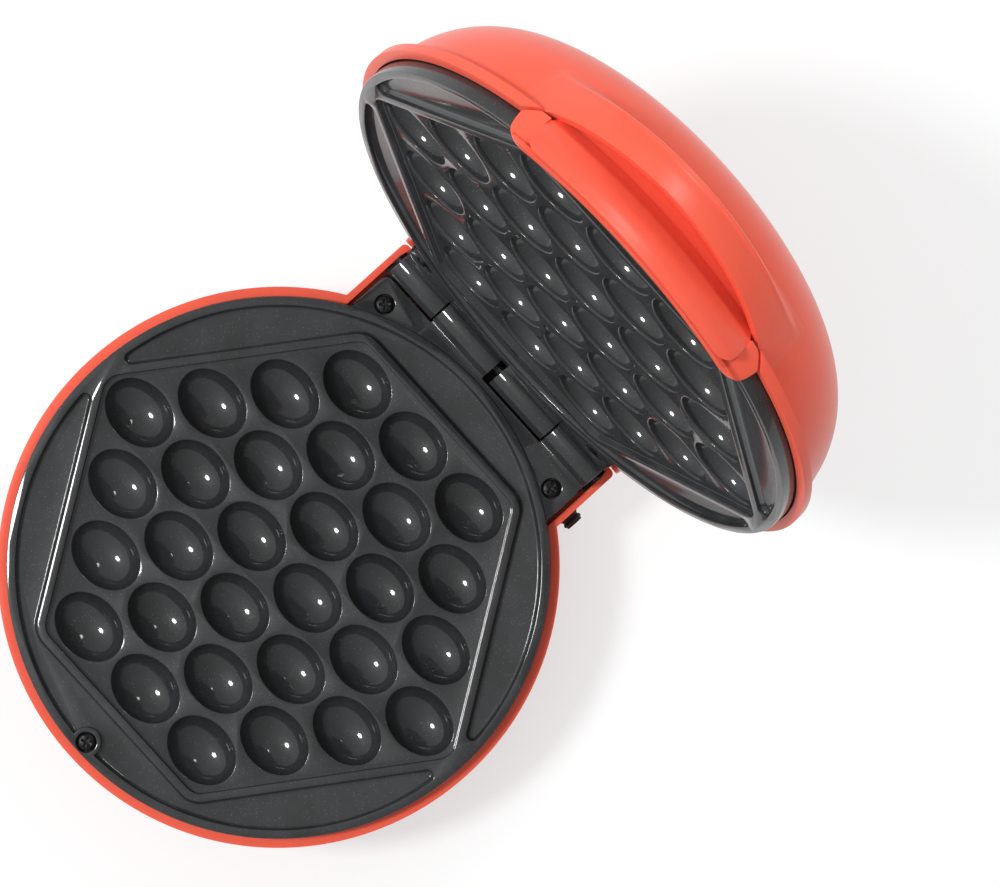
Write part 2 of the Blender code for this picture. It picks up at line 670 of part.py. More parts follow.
def make_thermostat():
    """The bimetal disc thermostat pressed to the plate, its cap on the side away from it."""
    radius, cap = THERMOSTAT_RADIUS, THERMOSTAT_RADIUS * THERMOSTAT_CAP_SHARE
    top = -SEAT_DEPTH
    middle, low = top - THERMOSTAT_HEIGHT / 2, top - THERMOSTAT_HEIGHT
    body = turned("thermostat", [
        (0.0, top), (radius, top), (radius, middle), (cap, middle), (cap, low), (0.0, low),
    ])
    return moved(body, (0.0, THERMOSTAT_BACK, 0.0))


def make_fuse():
    """The thermal fuse along X under the plate, its case between two short leads."""
    body, lead = FUSE_LENGTH / 2, FUSE_LENGTH / 2 + FUSE_LEAD_LENGTH
    fuse = turned("fuse", [
        (0.0, -lead), (FUSE_LEAD_RADIUS, -lead), (FUSE_LEAD_RADIUS, -body), (FUSE_RADIUS, -body),
        (FUSE_RADIUS, body), (FUSE_LEAD_RADIUS, body), (FUSE_LEAD_RADIUS, lead), (0.0, lead),
    ], steps=HOLE_STEPS)
    depth = SEAT_DEPTH + FUSE_RADIUS
    fuse.data.transform(Matrix.Translation((0, FUSE_BACK, -depth)) @ Matrix.Rotation(math.pi / 2, 4, "Y"))
    return fuse


def bowl_insets(wall=0.0):
    """(depth, inset) down the base's outside, or down a face inside it by a wall."""
    insets = [(WALL_START, LIP_STEP), (BOWL_STRAIGHT_DEPTH, LIP_STEP + BOWL_DRAFT)]
    rise, run = BASE_DEPTH - wall - BOWL_STRAIGHT_DEPTH, BOWL_ROUND - wall
    for index in range(1, BOWL_ROUND_STEPS + 1):
        angle = math.pi / 2 * index / BOWL_ROUND_STEPS
        depth = BOWL_STRAIGHT_DEPTH + rise * math.sin(angle)
        insets.append((depth, LIP_STEP + BOWL_DRAFT + run * (1 - math.cos(angle))))
    return insets


def lip_insets():
    """(depth, inset) down the outside of the lip that both shells have."""
    return [(LIP_DEPTH, LIP_ROUNDING), (LIP_DEPTH + LIP_ROUNDING, 0.0), (LIP_END, 0.0)]


def base_ring(depth, inset, wall=0.0):
    """The base's outline at a depth: the circle takes the whole inset, the hinge box its share."""
    box_inset = inset * BOX_INSET_SHARE + wall
    outline = plan_outline(SHELL_RADIUS - inset - wall, BOX_HALF_WIDTH - box_inset, BOX_BACK - box_inset)
    return level(outline, -depth)


def inset_at(depth):
    """The base's inset at a depth, read along its profile."""
    insets = bowl_insets()
    for (low, first), (high, second) in zip(insets, insets[1:]):
        if depth <= high:
            return first + (second - first) * (depth - low) / (high - low)
    return insets[-1][1]


def make_post(place_in_plan, low, high, side=None, reach=0.0):
    """A screw post with, where a side is given, a rib that runs out to the wall on that side."""
    post = slab("post", circle(POST_RADIUS, place_in_plan, steps=HOLE_STEPS), -high, -low)
    if side:
        root, out = Vector(place_in_plan), Vector(side)
        across = Vector((-out.y, out.x)) * RIB_WIDTH / 2
        tip = root + out * reach
        corners = [tuple(corner) for corner in (root - across, tip - across, tip + across, root + across)]
        web = slab("rib", corners, -low - RIB_SETBACK - RIB_LENGTH, -low - RIB_SETBACK)
        combine(post, web, "UNION")
    return post


def drill(target, x, y, low, high):
    outline = circle(SCREW_SHANK_RADIUS + SCREW_CLEARANCE, (x, y), steps=HOLE_STEPS)
    combine(target, slab("hole", outline, -high, -low), "DIFFERENCE")


def make_base_shell():
    """The base's side wall with its lip, hinge box, foot flange, screw posts and the gland's hole."""
    floor_inset = bowl_insets()[-1][1]
    outer = [base_ring(depth, inset) for depth, inset in lip_insets() + bowl_insets()]
    flange = [base_ring(depth, floor_inset, BOWL_FLANGE) for depth in (BASE_DEPTH, BASE_DEPTH - WALL)]
    inner = [base_ring(depth, inset, WALL) for depth, inset in reversed(bowl_insets(WALL))]
    mouth = [level(mouth_outline(), -LIP_END), level(mouth_outline(), -LIP_DEPTH)]
    shell = loft("base_shell", outer + flange + inner + mouth, closed=True)
    combine(shell, relief_cutter(PAD_HALF_WIDTH + RELIEF_SIDE_GAP, -1), "DIFFERENCE")
    limit = loft("limit", [base_ring(depth, inset, WALL / 2) for depth, inset in bowl_insets(WALL / 2)])
    low = SEAT_DEPTH + POST_GAP
    cover_top = BASE_DEPTH - COVER_THICKNESS - POST_GAP
    made = []
    for x, y in SCREW_PLACES:
        side = (0, -1) if y < 0 else (math.copysign(1, x), 0)
        made.append(make_post((x, y), low, low + POST_LENGTH, side, RIB_REACH))
    for x, y in cover_screw_places():
        side = (0, 1) if y > 0 else (math.copysign(1, x), 0)
        made.append(make_post((x, y), cover_top - COVER_POST_LENGTH, cover_top, side, COVER_RIB_REACH))
    for post in made:
        combine(post, copy_of(limit, "trim"), "INTERSECT")
        combine(shell, post, "UNION")
    bpy.data.objects.remove(limit, do_unlink=True)
    for x, y in SCREW_PLACES:
        drill(shell, x, y, low - OVERRUN, SCREW_LENGTH + SCREW_SEAT_DEPTH + OVERRUN)
    for x, y in cover_screw_places():
        drill(shell, x, y, BASE_DEPTH - COVER_SCREW_LENGTH - OVERRUN, cover_top + OVERRUN)
    wall = BOX_HALF_WIDTH - inset_at(GLAND_DEPTH) * BOX_INSET_SHARE
    ends = [(x, GLAND_BACK, -GLAND_DEPTH) for x in (wall - WALL - OVERRUN, wall + OVERRUN)]
    return combine(shell, bar("hole", *ends, GLAND_RADIUS + PIN_CLEARANCE), "DIFFERENCE")


def mouth_outline():
    """The shells' opening round a plate."""
    return plan_outline(OPENING_RADIUS, BOX_HALF_WIDTH - WALL, BOX_BACK - WALL)


def relief_cutter(half_width, side):
    """Takes the edge of a hinge box back where the knuckles turn; side tells the base from the lid."""
    edge, beyond = side * RELIEF_DEPTH, -side * OVERRUN
    return block(
        "relief", (-half_width, HINGE_BACK - RELIEF_FORWARD, min(edge, beyond)),
        (half_width, BOX_BACK + OVERRUN, max(edge, beyond)),
    )


def make_guard():
    """The black strip that lies in the base's hinge box, under the knuckles."""
    half_width = BOX_HALF_WIDTH - WALL - GUARD_CLEARANCE
    low, high = -LIP_END + GUARD_CLEARANCE, -LIP_END + GUARD_CLEARANCE + GUARD_THICKNESS
    front, back = HINGE_BACK - GUARD_FORWARD, BOX_BACK - WALL - GUARD_CLEARANCE
    corners = [(-half_width, front), (half_width, front), (half_width, back), (-half_width, back)]
    return slab("guard", rounded(corners, [0.0, 0.0, BOX_CORNER, BOX_CORNER]), low, high)


def cover_screw_places():
    return [(side * x, y) for x, y in COVER_SCREWS for side in (-1, 1)]


def foot_places():
    return [(side * x, y) for x, y in FOOT_PLACES for side in (-1, 1)]


def make_cover():
    """The flat bottom cover inside the bowl's foot, with vents and the holes for screws and feet."""
    inset = bowl_insets()[-1][1]
    outline = [point[:2] for point in base_ring(BASE_DEPTH, inset, BOWL_FLANGE + COVER_CLEARANCE)]
    cover = slab("bottom_cover", outline, -BASE_DEPTH, -BASE_DEPTH + COVER_THICKNESS)
    low, high = -BASE_DEPTH - OVERRUN, -BASE_DEPTH + COVER_THICKNESS + OVERRUN
    for index in range(VENT_COUNT):
        middle = (index - (VENT_COUNT - 1) / 2) * VENT_PITCH
        half, wide = VENT_LENGTH / 2, VENT_WIDTH / 2
        slot = rounded(
            [(-half, middle - wide), (half, middle - wide), (half, middle + wide), (-half, middle + wide)],
            [wide * VENT_END_SHARE] * 4,
        )
        combine(cover, slab("vent", slot, low, high), "DIFFERENCE")
    hole_radius = SCREW_SHANK_RADIUS + SCREW_CLEARANCE
    peg_radius = FOOT_PEG_RADIUS + PIN_CLEARANCE
    for radius, places in ((hole_radius, cover_screw_places()), (peg_radius, foot_places())):
        for x, y in places:
            combine(cover, slab("hole", circle(radius, (x, y), steps=HOLE_STEPS), low, high), "DIFFERENCE")
    return cover


def make_cover_screws():
    """Screws that come up through the bottom cover, heads down."""
    screws = []
    for x, y in cover_screw_places():
        screw = screw_mesh(COVER_SCREW_LENGTH)
        screw.data.transform(Matrix.Rotation(math.pi, 4, "X"))
        screws.append(moved(screw, (x, y, -BASE_DEPTH - SCREW_CLEARANCE)))
    return screws


def make_feet():
    """Rubber feet with a peg each, pushed into the bottom cover."""
    feet = []
    for x, y in foot_places():
        foot = turned("foot", [
            (0.0, 0.0), (FOOT_RADIUS - FOOT_TAPER, 0.0), (FOOT_RADIUS, FOOT_HEIGHT - SEAT_GAP),
            (FOOT_PEG_RADIUS, FOOT_HEIGHT - SEAT_GAP), (FOOT_PEG_RADIUS, FOOT_HEIGHT + FOOT_PEG_LENGTH),
            (0.0, FOOT_HEIGHT + FOOT_PEG_LENGTH),
        ])
        feet.append(moved(foot, (x, y, -PARTING_HEIGHT)))
    return feet


def make_gland():
    """The ribbed cord gland in the right wall of the hinge box, with a blind bore."""
    wall = BOX_HALF_WIDTH - inset_at(GLAND_DEPTH) * BOX_INSET_SHARE
    inside = wall - WALL - GLAND_WALL_GAP - GLAND_FLANGE
    outside = wall + GLAND_REACH
    profile = [(0.0, inside), (GLAND_FLANGE_RADIUS, inside), (GLAND_FLANGE_RADIUS, inside + GLAND_FLANGE)]
    profile += [(GLAND_RADIUS, inside + GLAND_FLANGE), (GLAND_RADIUS, wall + GLAND_WALL_GAP)]
    rib = (outside - wall - GLAND_WALL_GAP) / (2 * GLAND_RIBS)
    for index in range(GLAND_RIBS):
        low = wall + GLAND_WALL_GAP + 2 * index * rib
        tall = GLAND_RADIUS + GLAND_RIB_HEIGHT
        profile += [(tall, low), (tall, low + rib), (GLAND_RADIUS, low + rib), (GLAND_RADIUS, low + 2 * rib)]
    bore_floor = outside - GLAND_BORE_DEPTH
    profile += [(GLAND_BORE, outside), (GLAND_BORE, bore_floor), (0.0, bore_floor)]
    gland = turned("cord_gland", profile)
    place_in_wall = Matrix.Translation((0, GLAND_BACK, -GLAND_DEPTH))
    gland.data.transform(place_in_wall @ Matrix.Rotation(math.pi / 2, 4, "Y"))
    return gland


def make_terminal_block():
    """The ceramic terminal block on the bottom cover, bored for its wires."""
    half_width, half_length = TERMINAL_WIDTH / 2, TERMINAL_LENGTH / 2
    floor = -BASE_DEPTH + COVER_THICKNESS + SEAT_GAP
    body = block(
        "terminal_block", (-half_width, TERMINAL_BACK - half_length, floor),
        (half_width, TERMINAL_BACK + half_length, floor + TERMINAL_HEIGHT),
    )
    for way in range(TERMINAL_WAYS):
        x = (way - (TERMINAL_WAYS - 1) / 2) * TERMINAL_WIDTH / TERMINAL_WAYS
        middle = floor + TERMINAL_HEIGHT / 2
        ends = [(x, TERMINAL_BACK + side * (half_length + OVERRUN), middle) for side in (-1, 1)]
        combine(body, bar("bore", *ends, TERMINAL_BORE, steps=HOLE_STEPS), "DIFFERENCE")
    return body


def dome_radius(share, wall=0.0):
    """The dome's radius at a share of its rise."""
    return (DOME_RADIUS - wall) * (1 - share ** DOME_RISE_POWER) ** (1 / DOME_SIDE_POWER)


def dome_height(radius, wall=0.0):
    """The dome's height at a radius."""
    share = (1 - (radius / (DOME_RADIUS - wall)) ** DOME_SIDE_POWER) ** (1 / DOME_RISE_POWER)
    return DOME_ORIGIN + (LID_HEIGHT - wall - DOME_ORIGIN) * share


def dome_skin(height):
    """The dome's radius at a height."""
    return dome_radius((height - DOME_ORIGIN) / (LID_HEIGHT - DOME_ORIGIN))


def dome_rings(wall=0.0):
    """The lid's outlines up the dome, where the hinge box fades out, for its outside or a wall inside it."""
    rings = []
    for share in (DOME_START_SHARE,) + DOME_RISE_SHARES:
        radius = dome_radius(share, wall)
        scale = radius / (DOME_RADIUS - wall)
        fade = (share - BOX_FADE_START_SHARE) / (BOX_FADE_END_SHARE - BOX_FADE_START_SHARE)
        fade = min(max(fade, 0.0), 1.0)
        eased = fade * fade * (3 - 2 * fade)
        inset = LIP_STEP * BOX_INSET_SHARE + wall
        half_width, back = (BOX_HALF_WIDTH - inset) * scale, (BOX_BACK - inset) * scale
        outline = plan_outline(radius, half_width, back, fade=eased)
        rings.append(level(outline, DOME_ORIGIN + (LID_HEIGHT - wall - DOME_ORIGIN) * share))
    return rings


def handle_bulge(angle, height):
    """How far the handle's arch stands out from the dome at an angle from the front and a height."""
    across = max(1 - (angle / HANDLE_HALF_ANGLE) ** 2, 0.0) ** 2
    rise = (height - ARCH_START) / (ARCH_END - ARCH_START)
    return HANDLE_REACH * across * max(1 - rise * rise, 0.0) ** ARCH_FULLNESS


def sector(name, rows):
    """A solid swept round the front through rows of height, half angle, inner radius and outer radius."""
    rings = []
    for height, half_angle, inner, outer in rows:
        angles = [half_angle * (2 * step / HANDLE_STEPS - 1) for step in range(HANDLE_STEPS + 1)]
        there = [(outer(angle), math.radians(angle)) for angle in angles]
        back = [(inner, math.radians(angle)) for angle in reversed(angles)]
        rings.append([
            (radius * math.sin(turn), -radius * math.cos(turn), height) for radius, turn in there + back
        ])
    return loft(name, rings)


def make_arch():
    """The solid of the handle's arch, sunk into the dome behind it."""
    rows = []
    for step in range(ARCH_STEPS + 1):
        height = ARCH_START + (ARCH_END - ARCH_START) * math.sin(math.pi / 2 * step / ARCH_STEPS)
        skin = dome_skin(height)
        rows.append((
            height, HANDLE_HALF_ANGLE, skin - WALL / 2,
            lambda angle, skin=skin, height=height: skin + handle_bulge(angle, height),
        ))
    return sector("arch", rows)


def make_window_cutter():
    """The cut with a round top, through the lip and the arch's foot, that the fingers reach in by."""
    back = OPENING_RADIUS - HOLLOW_BACK_INSET
    front = SHELL_RADIUS + HANDLE_REACH + OVERRUN
    heights = (LIP_DEPTH - OVERRUN,) + WINDOW_HEIGHTS
    half_angles = WINDOW_HALF_ANGLES[:1] + WINDOW_HALF_ANGLES
    return sector("window", [
        (height, half_angle, back, lambda angle: front) for height, half_angle in zip(heights, half_angles)
    ])


def make_hollow_cutter():
    """The finger hollow behind the arch, open downwards and narrower towards its ceiling."""
    rows = []
    for height, half_angle in zip(HOLLOW_HEIGHTS, HOLLOW_HALF_ANGLES):
        at = max(height, ARCH_START)
        inside = dome_skin(at) - ARCH_THICKNESS
        rows.append((
            height, half_angle, OPENING_RADIUS - HOLLOW_BACK_INSET,
            lambda angle, at=at, inside=inside: inside + handle_bulge(angle, at),
        ))
    return sector("hollow", rows)


def make_lid_shell():
    """The lid's dome: lip, hinge box that fades into it, the handle's arch and the hollow behind it."""
    lip = [[(x, y, -z) for x, y, z in base_ring(depth, inset)] for depth, inset in lip_insets()]
    mouth = [level(mouth_outline(), LIP_DEPTH), level(mouth_outline(), LIP_END)]
    shell = loft("lid_shell", dome_rings()[::-1] + lip[::-1] + mouth + dome_rings(WALL))
    combine(shell, relief_cutter(BOX_HALF_WIDTH + OVERRUN, 1), "DIFFERENCE")
    combine(shell, make_arch(), "UNION")
    combine(shell, make_window_cutter(), "DIFFERENCE")
    combine(shell, make_hollow_cutter(), "DIFFERENCE")

    limit = loft("limit", dome_rings(WALL / 2))
    low = SEAT_DEPTH + POST_GAP
    for x, y in SCREW_PLACES:
        side = None if y < 0 else (math.copysign(1, x), 0)
        post = make_post((x, y), low, low + POST_LENGTH, side, RIB_REACH)
        post.data.transform(Matrix.Scale(-1, 4, (0, 0, 1)))
        post.data.flip_normals()
        combine(post, copy_of(limit, "trim"), "INTERSECT")
        combine(shell, post, "UNION")
        depth = SCREW_LENGTH + SCREW_SEAT_DEPTH + OVERRUN
        radius = SCREW_SHANK_RADIUS + SCREW_CLEARANCE
        hole = slab("hole", circle(radius, (x, y), steps=HOLE_STEPS), low - OVERRUN, depth)
        combine(shell, hole, "DIFFERENCE")
    bpy.data.objects.remove(limit, do_unlink=True)
    for place_in_plan in lens_places():
        outline = circle(LENS_RADIUS + PIN_CLEARANCE, place_in_plan)
        combine(shell, slab("bore", outline, LID_HEIGHT / 2, LID_HEIGHT + OVERRUN), "DIFFERENCE")
    return shell


def lens_places():
    return [(side * LENS_SPREAD, -LENS_FORWARD) for side in (-1, 1)]


def make_lens(x, y):
    """A signal lens in the lid's top: a domed button over a flange that lies inside the shell."""
    radius = math.hypot(x, y)
    top = dome_height(radius) + LENS_STAND
    flange = dome_height(radius + LENS_RADIUS + LENS_FLANGE, WALL) - SEAT_GAP
    wide = LENS_RADIUS + LENS_FLANGE
    lens = turned("lens", [
        (0.0, flange - LENS_FLANGE), (wide, flange - LENS_FLANGE), (wide, flange), (LENS_RADIUS, flange),
        (LENS_RADIUS, top - LENS_STAND * LENS_EDGE_SHARE),
        (LENS_RADIUS * LENS_CROWN_SHARE, top - LENS_STAND * (1 - LENS_SHOULDER_SHARE)), (0.0, top),
    ])
    return moved(lens, (x, y, 0.0))


def make_handle_tongue():
    """The handle's finger wall: it stands at the front, leans in under the arch and closes the hollow."""
    foot = PLATE_RADIUS + LIP_WALL_GAP + LIP_WALL_WIDTH + TONGUE_CLEARANCE
    rows = []
    for height, half_angle, lean_share in zip(TONGUE_HEIGHTS, TONGUE_HALF_ANGLES, TONGUE_LEAN_SHARES):
        inner = foot - TONGUE_LEAN * lean_share
        rows.append((height, half_angle, inner, lambda angle, inner=inner: inner + TONGUE_THICKNESS))
    return sector("tongue", rows)


def make_handle_lip():
    """The curved wall over the front of both plates; its ends rise to fill the window's corners."""
    inner = PLATE_RADIUS + LIP_WALL_GAP
    rows = []
    for height, half_angle in zip(LIP_WALL_HEIGHTS, LIP_WALL_HALF_ANGLES):
        width = LIP_WALL_WIDTH if height <= LIP_WALL_THICK_END else LIP_WALL_THIN
        rows.append((height, half_angle, inner, lambda angle, width=width: inner + width))
    top = LIP_WALL_HEIGHTS[-1] + OVERRUN
    beyond = inner + LIP_WALL_WIDTH + OVERRUN
    half_angle = LIP_WALL_CUT_HALF_ANGLE
    cut = [(height, half_angle, inner - OVERRUN, lambda angle: beyond) for height in (LIP_WALL_CUT, top)]
    return combine(sector("lip", rows), sector("cut", cut), "DIFFERENCE")


def main():
    clear_scene()
    stand = bpy.data.objects.new("stand", None)
    bpy.context.scene.collection.objects.link(stand)
    stand.location = (0, -FOOTPRINT_BEHIND_CENTRE, PARTING_HEIGHT)
    lid_pivot = bpy.data.objects.new("lid_pivot", None)
    bpy.context.scene.collection.objects.link(lid_pivot)
    lid_pivot.parent = stand
    lid_pivot.location = (0, HINGE_BACK, 0)
    lid_pivot.rotation_euler.x = -math.radians(OPEN_DEGREES)
    lid_pivot["anchor"] = (0.0, HINGE_BACK, 0.0)

    element, leads = make_element()
    shared = [
        ("plate", make_plate(), "nonstick_coating"),
        ("heating_element", element, "bright_steel"),
        ("reflector", make_reflector(leads), "reflector_sheet"),
        ("thermostat", make_thermostat(), "grey_plastic"),
    ]
    for where, screw in zip(("front", "hinge_left", "hinge_right"), make_plate_screws()):
        shared.append((f"plate_screw_{where}", screw, "black_steel"))
    for name, piece, finish_name in shared:
        place(piece, stand, f"lower_{name}", finish_name)
        twin = copy_of(piece, f"upper_{name}")
        place(twin, lid_pivot, flipped=True)

    place(make_base_shell(), stand, "base_shell", "coral_plastic")
    place(make_cover(), stand, "bottom_cover", "grey_plastic")
    place(make_terminal_block(), stand, "terminal_block", "ceramic")
    place(make_fuse(), stand, "thermal_fuse", "bright_steel")
    place(make_gland(), stand, "cord_gland", "black_rubber")
    place(make_pin(), stand, "hinge_pin", "black_steel")
    place(make_guard(), stand, "hinge_guard", "black_rubber")
    corners = ("front_left", "front_right", "rear_left", "rear_right")
    for corner, foot in zip(corners, make_feet()):
        place(foot, stand, f"foot_{corner}", "black_rubber")
    for corner, screw in zip(corners, make_cover_screws()):
        place(screw, stand, f"cover_screw_{corner}", "black_steel")

    place(make_lid_shell(), lid_pivot, "lid_shell", "coral_plastic")
    place(make_handle_tongue(), lid_pivot, "handle_tongue", "coral_plastic")
    place(make_handle_lip(), lid_pivot, "handle_lip", "coral_plastic")
    for name, colour, (x, y) in zip(("power_lens", "ready_lens"), ("red_lens", "green_lens"), lens_places()):
        place(make_lens(x, y), lid_pivot, name, colour)


main()
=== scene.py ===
"""Dresses the bubble waffle maker: fine plates, shells, handle and screws in the CAD's places, then light and camera.

Lengths are metres. Pieces are modelled in the plates' frame, whose origin is the plates' centre on the parting
plane, with +Y to the hinge. What belongs to the lid is modelled shut and then turned open about the hinge.
"""

import json
import math

import bmesh
import bpy
from mathutils import Euler, Matrix, Vector


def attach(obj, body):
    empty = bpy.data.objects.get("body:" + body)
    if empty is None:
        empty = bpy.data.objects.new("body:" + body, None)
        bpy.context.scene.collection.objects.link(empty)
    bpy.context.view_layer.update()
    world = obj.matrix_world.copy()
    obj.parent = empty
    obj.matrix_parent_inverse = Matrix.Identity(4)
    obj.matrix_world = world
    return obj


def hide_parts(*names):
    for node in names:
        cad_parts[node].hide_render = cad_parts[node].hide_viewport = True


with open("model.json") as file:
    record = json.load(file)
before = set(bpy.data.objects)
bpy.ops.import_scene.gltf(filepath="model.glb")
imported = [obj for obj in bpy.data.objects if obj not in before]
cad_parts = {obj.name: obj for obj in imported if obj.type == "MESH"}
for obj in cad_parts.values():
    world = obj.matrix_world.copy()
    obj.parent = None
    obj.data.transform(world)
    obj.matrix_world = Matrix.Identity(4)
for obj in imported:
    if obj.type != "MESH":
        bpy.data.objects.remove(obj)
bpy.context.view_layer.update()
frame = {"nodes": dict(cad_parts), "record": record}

# Where the plates' frame stands, and how far the lid is open
PARTING_HEIGHT = 0.050
CENTRE_FORWARD = 0.0459
HINGE_BACK = 0.1095
OPEN_DEGREES = 102.0
IN_BASE = Matrix.Translation((0, -CENTRE_FORWARD, PARTING_HEIGHT))
TURNED_OPEN = Matrix.Translation((0, HINGE_BACK, 0)) @ Matrix.Rotation(-math.radians(OPEN_DEGREES), 4, "X")
IN_LID = IN_BASE @ TURNED_OPEN @ Matrix.Translation((0, -HINGE_BACK, 0))
LID_PLATE = IN_LID @ Matrix.Rotation(math.pi, 4, "Y")

# Plates
EGG_ROWS = (3, 4, 5, 6, 5, 4, 3)
EGG_PITCH = (0.0308, 0.0222)
# Length, width, depth
EGG_SIZE = (0.0284, 0.0220, 0.0092)
# The field's half length, and how far out and back its other corners are
FIELD_ENDS = (0.0950, 0.0410, 0.0795)
FIELD_DEPTH = 0.0027
FIELD_CORNER_RADIUS = 0.0070
RIDGE_WIDTH = 0.0030
CHANNEL_DEPTH = 0.0026
CHANNEL_DRAFT = 0.0011
CHANNEL_TIP_GAP = 0.0180
CHANNEL_TIP_RADIUS = 0.0022
BEAD_WIDTH = 0.0032
PLATE_RADIUS = 0.1000
PLATE_TOP = 0.00025
RIM_DEPTH = 0.0088
BODY_INSET = 0.0040
PLATE_DEPTH = 0.0136
PAD_DROP = 0.0004
PAD_HALF_WIDTH = 0.0538
PAD_CORNER = 0.0030
PAD_BACK = 0.1023
KNUCKLE_RADIUS = 0.0065
KNUCKLE_SPANS = ((-0.0297, -0.0015), (0.0303, 0.0534))
WEB_DEPTH = 0.0068
PIN_BORE = 0.0027
LEAST_CORNER = 0.0002

# Plate screws
SCREW_PLACES = ((0.0, -0.0955), (-0.0460, 0.0940), (0.0460, 0.0940))
SCREW_NAMES = ("front", "hinge_left", "hinge_right")
SCREW_TURNS = (20, 52, 8)
# Radius, depth
SCREW_SEAT = (0.0038, 0.0024)
SCREW_SEAT_GAP = 0.0003
SCREW_BORE = 0.0018
SCREW_COLLAR = 0.0055
SCREW_HEAD_RADIUS = 0.0032
SCREW_HEAD_SIDE = 0.0009
SCREW_HEAD_CROWN = 0.0008
SCREW_SHANK_RADIUS = 0.0015
SCREW_LENGTH = 0.0150
SLOT_HALF_LENGTH = 0.0021
SLOT_HALF_WIDTH = 0.00050
SLOT_FLOOR = 0.0005

# Shells
SHELL_RADIUS = 0.1040
OPENING_RADIUS = 0.1005
LIP_DEPTH = 0.0060
LIP_END = 0.0095
LIP_STEP = 0.0040
WALL_START = 0.0104
WALL = 0.0025
BOX_HALF_WIDTH = 0.0582
MOUTH_HALF_WIDTH = 0.0557
BOX_BACK = 0.1155
BOX_CORNER = 0.0020
# Where the relief for the knuckles starts, and its depth
RELIEF = (0.1087, 0.0080)
RELIEF_HALF_WIDTH = 0.0550
BOX_INSET_SHARE = 0.35
BASE_DEPTH = 0.0460
BOWL_STRAIGHT_DEPTH = 0.0340
BOWL_DRAFT = 0.0040
BOWL_ROUND = 0.0120
BOWL_FLANGE = 0.0040
LID_HEIGHT = 0.0550
DOME_ORIGIN = 0.0041
DOME_POWERS = (2.4, 4.0)
DOME_TOP_SHARE = 0.9997
BOX_FADE_SHARES = (0.34, 0.90)
LENS_PLACES = ((-0.0090, -0.0450), (0.0090, -0.0450))
LENS_BORE = 0.0037

# Cord gland, measured along its axis from the inside of the hinge box's right wall
GLAND_PLACE = (0.0931, 0.0310)
GLAND_BORE = 0.0037
GLAND_WALL_INSET = 0.0026
GLAND_HEAD_RADIUS = 0.0045
GLAND_HEAD_SPAN = (0.0047, 0.0033)
GLAND_NECK_RADIUS = 0.0034
GLAND_RIB_RADIUS = 0.0040
GLAND_RIB_COUNT = 3
GLAND_RIB_START = 0.0008
GLAND_RIB_SHARES = (0.14, 0.52, 0.66)
GLAND_REACH = 0.0076
GLAND_HOLE = (0.0022, 0.0030)

# Handle, in rows that run up the lid
HANDLE_HALF_ANGLE = 34.5
HANDLE_REACH = 0.0132
ARCH_START = 0.0100
ARCH_THICKNESS = 0.0030
ARCH_PLAN_POWER = 1.5
# Height, share of the reach
ARCH_ROWS = (
    (0.0100, 1.0), (0.0140, 1.0), (0.0190, 0.988), (0.0215, 0.970), (0.0230, 0.960), (0.0238, 0.968),
    (0.0245, 0.994), (0.0251, 0.988), (0.0257, 0.92), (0.0262, 0.78), (0.0267, 0.55), (0.0272, 0.30),
    (0.0280, 0.10), (0.0292, 0.0),
)
# Height, half angle
WINDOW_ROWS = (
    (0.0060, 31.9), (0.0070, 31.0), (0.0082, 30.0), (0.0096, 28.6), (0.0108, 26.6), (0.0118, 22.5),
    (0.0126, 17.0), (0.0132, 10.0), (0.0136, 3.0),
)
HOLLOW_ROWS = ((0.0082, 26.6), (0.0148, 25.4), (0.0210, 19.0))
HOLLOW_BACK = 0.0945
TONGUE_FOOT_RADIUS = 0.1055
TONGUE_LEAN = 0.0066
TONGUE_THICKNESS = 0.0022
# Height, half angle, share of the lean
TONGUE_ROWS = (
    (-0.0045, 22.2, 0.0), (-0.0036, 23.8, 0.02), (-0.0020, 24.8, 0.05), (0.0, 25.3, 0.13),
    (0.0030, 25.7, 0.33), (0.0065, 26.1, 0.64), (0.0085, 26.2, 0.78), (0.0098, 26.1, 0.91),
    (0.0108, 25.8, 1.01), (0.0122, 25.3, 1.13), (0.0140, 24.3, 1.24), (0.0200, 17.5, 1.28),
)
# Inner radius, width of the foot, width of the wall above it
LIP_WALL = (0.1022, 0.0028, 0.0014)
# Height, half angle
LIP_WALL_ROWS = (
    (-0.0047, 25.5), (-0.0042, 27.5), (-0.0032, 28.9), (-0.0018, 29.9), (0.0, 30.5), (0.0025, 30.9),
    (0.0044, 31.1), (0.0053, 31.0), (0.0064, 30.4), (0.0074, 29.6), (0.0084, 28.8), (0.0090, 28.1),
)
LIP_WALL_THICK_END = -0.0032
LIP_WALL_CUT = 0.0010
LIP_WALL_CUT_HALF_ANGLE = 26.1

# Rounding of a piece's edges: its width, its segments, and the angle that an edge has to pass
PLATE_EASE = (0.00035, 2, 32)
PLATE_WELD = 0.00005
BASE_EASE = (0.0009, 4, 30)
LID_EASE = (0.0008, 3, 30)
TONGUE_EASE = (0.0006, 3, 35)
LIP_EASE = (0.0004, 3, 35)
GLAND_EASE = (0.00025, 2, 28)
SCREW_EASE = (0.00012, 2, 40)

# Colours, from 0 to 255
CORAL = ((249, 99, 77), (251, 102, 80))
COATING = ((44, 45, 46), (53, 54, 56))
COATING_FLECK = (176, 178, 182)
SCREW_BLACK = ((34, 34, 35), (84, 84, 86))

